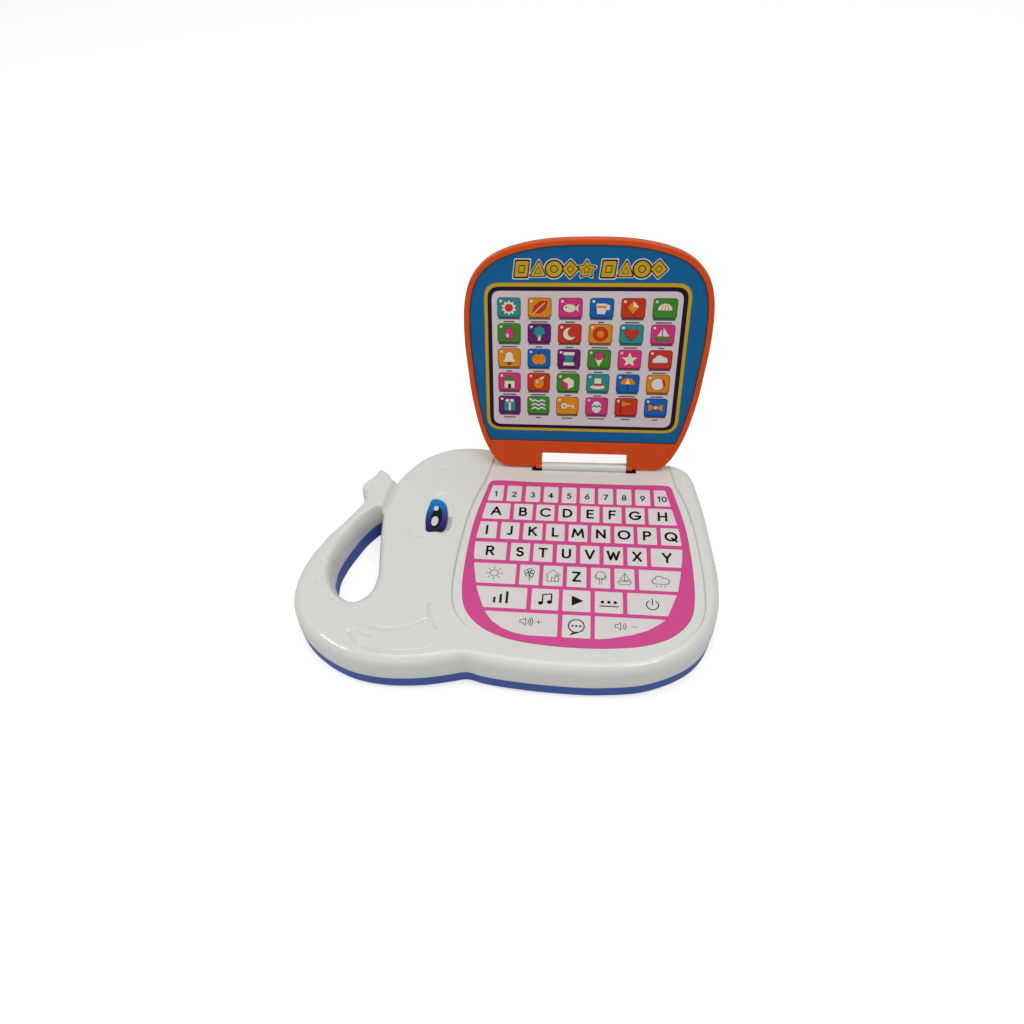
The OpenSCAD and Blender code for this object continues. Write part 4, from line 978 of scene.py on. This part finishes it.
# Small plain pictures, one for each tile: shapes with their ink (see motif) and layer. A shape
# without a layer gets a thin dark outline.
MOTIFS = {
    "sun": [(star(0, 0, 4.9, 3.3, 10), "b"), (ellipse(0, 0, 2.5), "a", 9)],
    "leaf": [([(-4, -3), (-3.2, 1), (0, 3.8), (4.4, 4.2), (3.6, 0), (0.6, -3)], "a"),
             ([(-4.6, -4), (-3.9, -4), (3.2, 3.2), (2.8, 3.4)], "b", 9)],
    "fish": [(ellipse(-0.6, 0, 3.8, 2.5), "b"),
             ([(2.4, 0), (5, 2.6), (4.4, 0), (5, -2.6)], "b"),
             (ellipse(-2.6, 0.6, 0.5, n=12), "k", 9)],
    "cup": [([(-3.4, 3), (3.0, 3), (2.2, -3.6), (-2.6, -3.6)], "w"),
            (ellipse(3.6, 0.6, 1.4, 1.8, n=18), "w"),
            ([(-3.0, 1.6), (2.7, 1.6), (2.5, 0.2), (-2.9, 0.2)], "a", 9)],
    "kite": [([(0, 4.8), (3.4, 0.8), (0, -3.4), (-3.4, 0.8)], "a"),
             ([(0, 4.8), (3.4, 0.8), (0, 0.8)], "b", 9),
             ([(0, -3.4), (0.4, -3.4), (1.6, -5.2), (1.0, -5.2)], "k", 9)],
    "shell": [(ellipse(0, -1, 4.2, 4.2, a0=0, a1=180), "b")]
    + [([(q - 0.2, -0.8), (q + 0.2, -0.8), (q * 0.6 + 0.2, 2.4), (q * 0.6 - 0.2, 2.4)], "a", 9)
       for q in (-2.2, 0, 2.2)],
    "drop": [([(0, 4.8), (2.6, 0.6), (2.9, -1.2), (1.9, -3.2), (0, -4), (-1.9, -3.2),
               (-2.9, -1.2), (-2.6, 0.6)], "a"), (ellipse(-1, -1.4, 0.8, 1.2), "w", 9)],
    "tree": [(rectangle(-0.8, -4.6, 0.8, -1), "b"), (star(0, 1.2, 3.9, 3.0, 7), "a")],
    "moon": [(ellipse(0, 0, 4.0), "b"), (ellipse(1.8, 0.9, 3.1), "g", 9)],
    "ring": [(ellipse(0, 0, 4.2), "a"), (ellipse(0, 0, 2.1), "g", 9)],
    "heart": [([(0, -4.2), (3.9, 0.4), (3.8, 2.6), (2.2, 3.7), (0.4, 2.9), (0, 2.2),
                (-0.4, 2.9), (-2.2, 3.7), (-3.8, 2.6), (-3.9, 0.4)], "a")],
    "boat": [([(-4.4, -1.6), (4.4, -1.6), (2.9, -4), (-2.9, -4)], "a"),
             ([(0.2, 4.6), (0.2, -1), (4, -1)], "w"),
             ([(-0.5, 3.6), (-0.5, -1), (-3.2, -1)], "b")],
    "bell": [([(0, 4.4), (2, 3.2), (2.6, -0.4), (4, -2.6), (-4, -2.6), (-2.6, -0.4),
               (-2, 3.2)], "b"), (ellipse(0, -3.4, 1.1, n=14), "a")],
    "apple": [(ellipse(-1.3, -0.6, 2.9, 3.4), "a"), (ellipse(1.3, -0.6, 2.9, 3.4), "a", 9),
              ([(-0.3, 2.4), (0.3, 2.4), (0.7, 4.8), (0.2, 4.8)], "k", 10)],
    "spool": [(box(-3.4, 2.4, 3.4, 4.4, 0.4), "b"), (box(-3.4, -4.4, 3.4, -2.4, 0.4), "b"),
              (rectangle(-2.5, -2.4, 2.5, 2.4), "a", 9)],
    "cone": [([(-2.6, 0.6), (2.6, 0.6), (0, -5)], "b"), (ellipse(0, 1.8, 2.8, 2.5), "a")],
    "star": [(star(0, -0.2, 5.0, 2.2), "b")],
    "cloud": [([(-4.4, -1.8), (-4.6, 0), (-3.2, 1.2), (-2.2, 2.6), (0, 3.2), (1.8, 2.0),
                (3.6, 1.6), (4.6, 0), (4.2, -1.8)], "w")],
    "house": [([(-3.2, 0.8), (-3.2, -4.2), (3.2, -4.2), (3.2, 0.8)], "b"),
              ([(-4.3, 0.6), (0, 4.6), (4.3, 0.6)], "a"),
              (rectangle(-0.9, -4.2, 0.9, -1.4), "k", 9)],
    "plum": [(ellipse(0, -0.8, 3.3, 3.6), "a"), ([(0, 2.6), (3.6, 4.4), (2.4, 1.9)], "b", 9),
             (ellipse(-1.1, 0.4, 0.7, 1.0), "w", 9)],
    "cube": [([(-3.6, 1.6), (0, 3.8), (3.6, 1.6), (3.6, -2.4), (0, -4.6), (-3.6, -2.4)], "b"),
             ([(-3.6, 1.6), (0, -0.6), (0, -4.6), (-3.6, -2.4)], "a", 9)],
    "hat": [(ellipse(0, -2.6, 4.6, 1.4), "b"),
            ([(-2.4, -2), (2.4, -2), (2.0, 3.4), (-2.0, 3.4)], "b"),
            ([(-2.4, -1.6), (2.4, -1.6), (2.3, -0.2), (-2.3, -0.2)], "a", 9)],
    "rain": [(ellipse(0, -0.4, 4.5, 4.2, a0=0, a1=180), "a"),
             (rectangle(-0.25, -4.4, 0.25, -0.4), "k", 9),
             ([(-1.4, -0.3), (1.4, -0.3), (0, 3.6)], "b", 9)],
    "ball": [(ellipse(0, 0, 4.0), "w"), (ellipse(0, 0, 4.0, a0=-30, a1=60), "a", 9),
             (ellipse(0, 0, 4.0, a0=150, a1=240), "b", 9)],
    "gift": [(box(-3.6, -4, 3.6, 2, 0.3), "a"), (rectangle(-0.7, -4, 0.7, 2), "b", 9),
             (ellipse(-1.5, 3.1, 1.4, 1.0, 20), "b"), (ellipse(1.5, 3.1, 1.4, 1.0, -20), "b")],
    "wave": [([(x, q + up) for x, up in
               ((-4.4, -0.7), (-2.2, 0.5), (0, -0.7), (2.2, 0.5), (4.4, -0.7),
                (4.4, 0.4), (2.2, 1.6), (0, 0.4), (-2.2, 1.6), (-4.4, 0.4))], "w", 8)
             for q in (-2.4, 0.2, 2.8)],
    "key": [(ellipse(-2, 0, 2.2), "b"), (ellipse(-2, 0, 1.0), "g", 9),
            (rectangle(0.2, -0.5, 4.6, 0.6), "b"),
            ([(3.2, -0.5), (4.2, -0.5), (4.2, -2.2), (3.2, -2.2)], "b")],
    "egg": [(ellipse(0, -0.4, 3.1, 4.1), "w"),
            ([(-2.9, 0.2), (-1.4, 1.2), (0, 0.2), (1.4, 1.2), (2.9, 0.2), (2.9, -1.0),
              (1.4, 0), (0, -1.0), (-1.4, 0), (-2.9, -1.0)], "a", 9)],
    "flag": [(rectangle(-3.5, -4.8, -2.9, 4.6), "k", 8),
             ([(-2.8, 4.2), (3.8, 2.2), (-2.8, 0.2)], "a")],
    "bow": [([(-4.4, 2.6), (-4.4, -2.6), (0, 0)], "a"), ([(4.4, 2.6), (4.4, -2.6), (0, 0)], "a"),
            (ellipse(0, 0, 1.2, n=14), "b")]}


def motif(shapes, place, ground):
    """A tile's picture: polygons with their ink and layer."""
    inks = {"a": TILE[PARTNER[ground]], "b": CREAM, "g": TILE[ground], "k": PLUM, "w": SNOW}
    for poly, ink, *layer in shapes:
        p = np.array(poly, float)
        if not layer:
            mid = p.mean(0)
            yield (p - mid) * (1 + 0.7 / np.ptp(p, 0).max()) + mid + place, PLUM, 7
        yield p + place, inks[ink], layer[0] if layer else 8


def picture_sheet():
    loop = (moved_in(rim_loop, 0.12) * [1, -1])[::-1]
    n = len(loop)
    verts, faces = cushion(loop, [(0, -1.42), (0, -0.93), (0.08, -0.9), (0.5, -0.9)])
    new_object("picture_sheet", sheet_place(verts), faces + [range(n)[::-1]], [NAVY, EDGE],
               "lid", 40, [1] * (3 * n) + [0, 0], "lid_sheet")
    ink = [(box(-61.0, 26.3, 60.2, 124.2, 9.5), GOLD, 1),
           (box(-59.0, 28.2, 58.2, 121.9, 7.4), PLUM, 2),
           (box(-56.5, 30.5, 55.5, 119.3, 5.2), LILAC, 3)]
    for k, (ground, shapes) in enumerate(zip(GROUNDS, MOTIFS.values())):
        r, c = divmod(k, 6)
        x, y = TILE_X + TILE_PITCH * c, TILE_ROWS[r]
        span = 3.4 + 1.7 * math.sin(2.3 * r + 1.7 * c)
        ink += [(box(x - 6.6, y - 7.3, x + 6.6, y - 6.0, 0.6), DUSK, 4),
                (box(x - span, y - 9.2, x + span, y - 8.3, 0.4), DUSK, 4),
                (box(x - 7.1, y - 6.4, x + 7.1, y + 6.4, 2.3), DEEP[ground], 5),
                (box(x - 6.6, y - 5.5, x + 6.6, y + 6.0, 2.0), TILE[ground], 6),
                (ellipse(x - 4.9, y + 4.2, 0.85, n=12), SNOW, 10)]
        ink += motif(shapes, [x, y], ground)
    # two groups of plain gold shapes across the head of the sheet
    signs = [[(-4.2, -4.6), (3.2, -4.6), (4.2, 4.6), (-3.2, 4.6)],
             [(-4.4, -4.2), (4.4, -4.2), (0.6, 4.8)], ellipse(0, 0, 4.6),
             [(0, -4.9), (4.6, 0), (0, 4.9), (-4.6, 0)], star(0, -0.3, 5.4, 2.9)]
    x = -38.6
    for k in range(9):
        s = rounded(signs[k % 5], 0.8, 3) + [x, 132.4]
        mid = s.mean(0)
        ink += [((s - mid) * grow + mid, mat, layer)
                for grow, mat, layer in ((1.36, LILAC, 1), (1.2, PLUM, 2), (1.0, GOLD, 3),
                                         (0.5, PLUM, 4), (0.38, GOLD, 5))]
        x += 9.4 if k != 4 else 12.6
    print_shapes("sheet_prints", ink, lambda p: sheet_place(p + [0, 0, -0.895]), "lid",
                 [NAVY, GOLD, PLUM, LILAC, SNOW, DUSK, CREAM, *TILE.values(),
                                   *DEEP.values()], 0.011)


picture_sheet()


# ---------------- eye
PUPIL = material("eye_black", (12, 16, 20), 0.4, 0.05, 0.01, 900, spec=0.15)
GLINT = material("eye_glint", (214, 214, 212), 0.25, 0.02)
PATCH = material("eye_grey", (176, 176, 174), 0.35, 0.04)
EYE = [(-93.7, 38.6), (-91.7, 39.3), (-88.3, 38.4), (-85.3, 35.4), (-83.1, 28.1), (-82.3, 19.4),
       (-82.7, 15.4), (-83.8, 12.1), (-88.7, 11.6), (-93.5, 11.5), (-94.8, 16.5), (-95.5, 20.8),
       (-95.6, 26.1), (-95.0, 32.4)]


def iris():
    """Printed iris, blue at the top and dark violet at the bottom."""
    m = material("eye_iris", (30, 110, 170), 0.36, 0.02, 0.01, 900, spec=0.2)
    made = {n.type: n for n in m.node_tree.nodes}
    add = adder(m.node_tree)
    place = add("SeparateXYZ", {0: made["TEX_COORD"].outputs["Object"]})
    low, top = 0.0125, 0.0385
    up = add("MapRange", {"Value": place.outputs["Y"], "From Min": low, "From Max": top})
    ramp = add("ValToRGB", {0: up.outputs[0]})
    stops = ramp.color_ramp.elements
    for i, (pos, c) in enumerate(((0.0, (36, 18, 60)), (0.3, (48, 40, 124)),
                                  (0.6, (20, 84, 164)), (1.0, (0, 134, 200)))):
        e = stops[i] if i < 2 else stops.new(pos)
        e.position, e.color = pos, srgb(*c)
    m.node_tree.links.new(ramp.outputs[0], made["BSDF_PRINCIPLED"].inputs["Base Color"])
    return m


def eye():
    verts, faces = cushion(resample(spline(EYE, 8), 0.8),
                           [(0, 25.4), (0, 26.06), (0.1, 26.15), (0.5, 26.17)])
    new_object("eye_label", verts, faces, [iris()], "base", 50, node="eye_sticker")
    pupil = [(x, y + (0.9 if y > 23.1 else 0)) for x, y in ellipse(-89.2, 23.1, 3.7, 9.2)]
    pupil = [(x + 0.25 * (x + 89.2) * min(0, 23.1 - y) / 10, y) for x, y in pupil]
    print_shapes("eye_prints", [(pupil, PUPIL, 1), (ellipse(-90.4, 31.4, 1.6, 2.1), GLINT, 2),
                                (ellipse(-89.9, 20.2, 2.2, 4.2), GLINT, 2)],
                 lambda p: p + [0, 0, 26.172], "base", [PUPIL, GLINT], 0.012)
    # A flat grey patch on the socket floor, beside the label.
    patch = [(-79.3, 25.1), (-79.0, 17.0), (-80.2, 12.9), (-83.0, 12.7), (-82.0, 16.9),
             (-82.6, 24.9)]
    print_shapes("eye_grey_patch", [(patch, PATCH, 1)], lambda p: p + [0, 0, 25.6], "base",
                 [PATCH], 0.012)


eye()

# ---------------- parts inside, dressed
def dress(names, rgb, rough, metal=0.0):
    """Gives pieces carried over from the CAD their finish."""
    vary, bump, grain = (0.05, 0.02, 1200) if metal else (0.06, 0.03, 900)
    for name in names.split():
        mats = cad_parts[name].data.materials
        mats.clear()
        mats.append(material(name + "_finish", rgb, rough, vary, bump, grain, metal=metal))


dress("contact_film", (206, 206, 204), 0.3)
dress("spacer_film", (214, 214, 208), 0.35)
dress("circuit_film", (196, 200, 196), 0.3)
dress("tail_clamp", (40, 40, 42), 0.5)
dress("main_board", (28, 92, 52), 0.4)
dress("sound_chip", (22, 22, 24), 0.55)
dress("small_components", (150, 128, 84), 0.5)
dress("capacitor", (34, 36, 44), 0.35)
dress("speaker_cone", (44, 42, 42), 0.85)
dress("speaker_gasket", (24, 24, 26), 0.9)
dress("battery_cells", (40, 64, 104), 0.35)
dress("battery_door", (62, 84, 168), 0.38)
dress("battery_wire_red speaker_wire_red", (176, 28, 26), 0.45)
dress("battery_wire_black speaker_wire_black", (22, 22, 24), 0.45)
dress("tail_clamp_screws board_screws speaker_screws", (176, 176, 178), 0.32, 1.0)
dress("battery_door_screw shell_screws", (170, 170, 172), 0.32, 1.0)
dress("battery_springs battery_plates", (196, 194, 188), 0.28, 1.0)
dress("speaker_frame", (150, 150, 150), 0.35, 1.0)
dress("speaker_magnet", (74, 74, 78), 0.45, 1.0)
dress("hinge_pins", (178, 178, 180), 0.28, 1.0)


# ---------------- floor, light and camera
def floor_paper():
    m = bpy.data.materials.new("floor_paper")
    add = emptied(m)
    path = add("LightPath").outputs
    seen = add("Math", {0: path["Is Camera Ray"], 1: path["Is Transmission Ray"]},
               operation="MAXIMUM")
    paper = add("BsdfDiffuse", {0: (0.62, 0.62, 0.62, 1)})
    glow = add("Emission", {1: 0.62})
    lit = add("AddShader", {0: paper.outputs[0], 1: glow.outputs[0]})
    plain = add("BsdfDiffuse", {0: (0.72, 0.72, 0.72, 1)})
    mix = add("MixShader", {0: seen.outputs[0], 1: plain.outputs[0], 2: lit.outputs[0]})
    add("OutputMaterial", {0: mix.outputs[0]})
    return m


def make_stage():
    mesh = bpy.data.meshes.new("floor")
    mesh.from_pydata([(x, y, 0) for x, y in rectangle(0, 0, 0, 0, FLOOR_HALF)], [],
                     [(0, 1, 2, 3)])
    mesh.materials.append(floor_paper())
    ob = linked("floor", mesh)
    ob.location.z = -FLOOR_GAP

    world = bpy.data.worlds.new("studio")
    bpy.context.scene.world = world
    add = emptied(world)
    path = add("LightPath").outputs
    around = add("Background", {0: (1, 1, 1, 1), 1: WORLD})
    behind = add("Background", {0: (1, 1, 1, 1), 1: 1.0})
    mix = add("MixShader", {0: path["Is Camera Ray"], 1: around.outputs[0],
                            2: behind.outputs[0]})
    add("OutputWorld", {0: mix.outputs[0]})

    for name, place, target, along, size, power in LAMPS:
        lamp = bpy.data.lights.new(name, "AREA")
        lamp.shape = "RECTANGLE"
        lamp.size, lamp.size_y = size
        lamp.energy = power
        ob = linked(name, lamp)
        ob.location = place
        z = (Vector(place) - Vector(target)).normalized()
        y = z.cross(Vector(along)).normalized()
        ob.rotation_euler = Matrix((y.cross(z), y, z)).transposed().to_euler()

    cam = bpy.data.cameras.new("camera")
    cam.sensor_width = SENSOR
    cam.lens = FOCAL / IMAGE * SENSOR
    cam.shift_x = (IMAGE / 2 - CENTRE[0]) / IMAGE
    cam.shift_y = (CENTRE[1] - IMAGE / 2) / IMAGE
    cam.clip_start, cam.clip_end = 0.01, 50
    ob = linked("camera", cam)
    m = Matrix([[RIGHT[i], -DOWN[i], -AHEAD[i]] for i in range(3)]).to_4x4()
    m.translation = Vector(EYE_POINT) * MM
    ob.matrix_world = m
    bpy.context.scene.camera = ob


WORLD = 0.42
FLOOR_HALF, FLOOR_GAP = 6.0, 0.0004
# The photograph's camera: image width, focal length and optical centre in pixels, axes and place.
IMAGE, FOCAL, CENTRE, SENSOR = 1024.0, 852.0, (461.0, 511.0), 36.0
RIGHT = (0.99133795, 0.11431307, -0.06466521)
DOWN = (0.03685157, -0.71469361, -0.69846618)
AHEAD = (-0.12605963, 0.69003302, -0.71271551)
EYE_POINT = (-5.82, -344.87, 413.25)
MIDDLE = (-0.04, 0.0, 0.03)
# name, place, target, direction of the long side, size, power
LAMPS = [("softbox_top", (0.1, 0.1, 1.4), MIDDLE, (1, 0, 0), (1.1, 1.1), 6.6),
         ("softbox_front", (-0.3, -1.3, 1.0), MIDDLE, (1, 0, 0), (0.9, 0.9), 1.5),
         ("lamp_left", (-1.0, -0.17, 1.225), (-0.13, -0.06, 0.03), (0.69, -0.58, 0.44),
          (0.42, 0.26), 3.3),
         ("lamp_right", (0.47, -0.39, 1.32), (0.05, -0.07, 0.03), (0.9, 0.3, -0.2),
          (0.42, 0.13), 1.6)]
make_stage()
bpy.context.scene.view_settings.view_transform = "Standard"
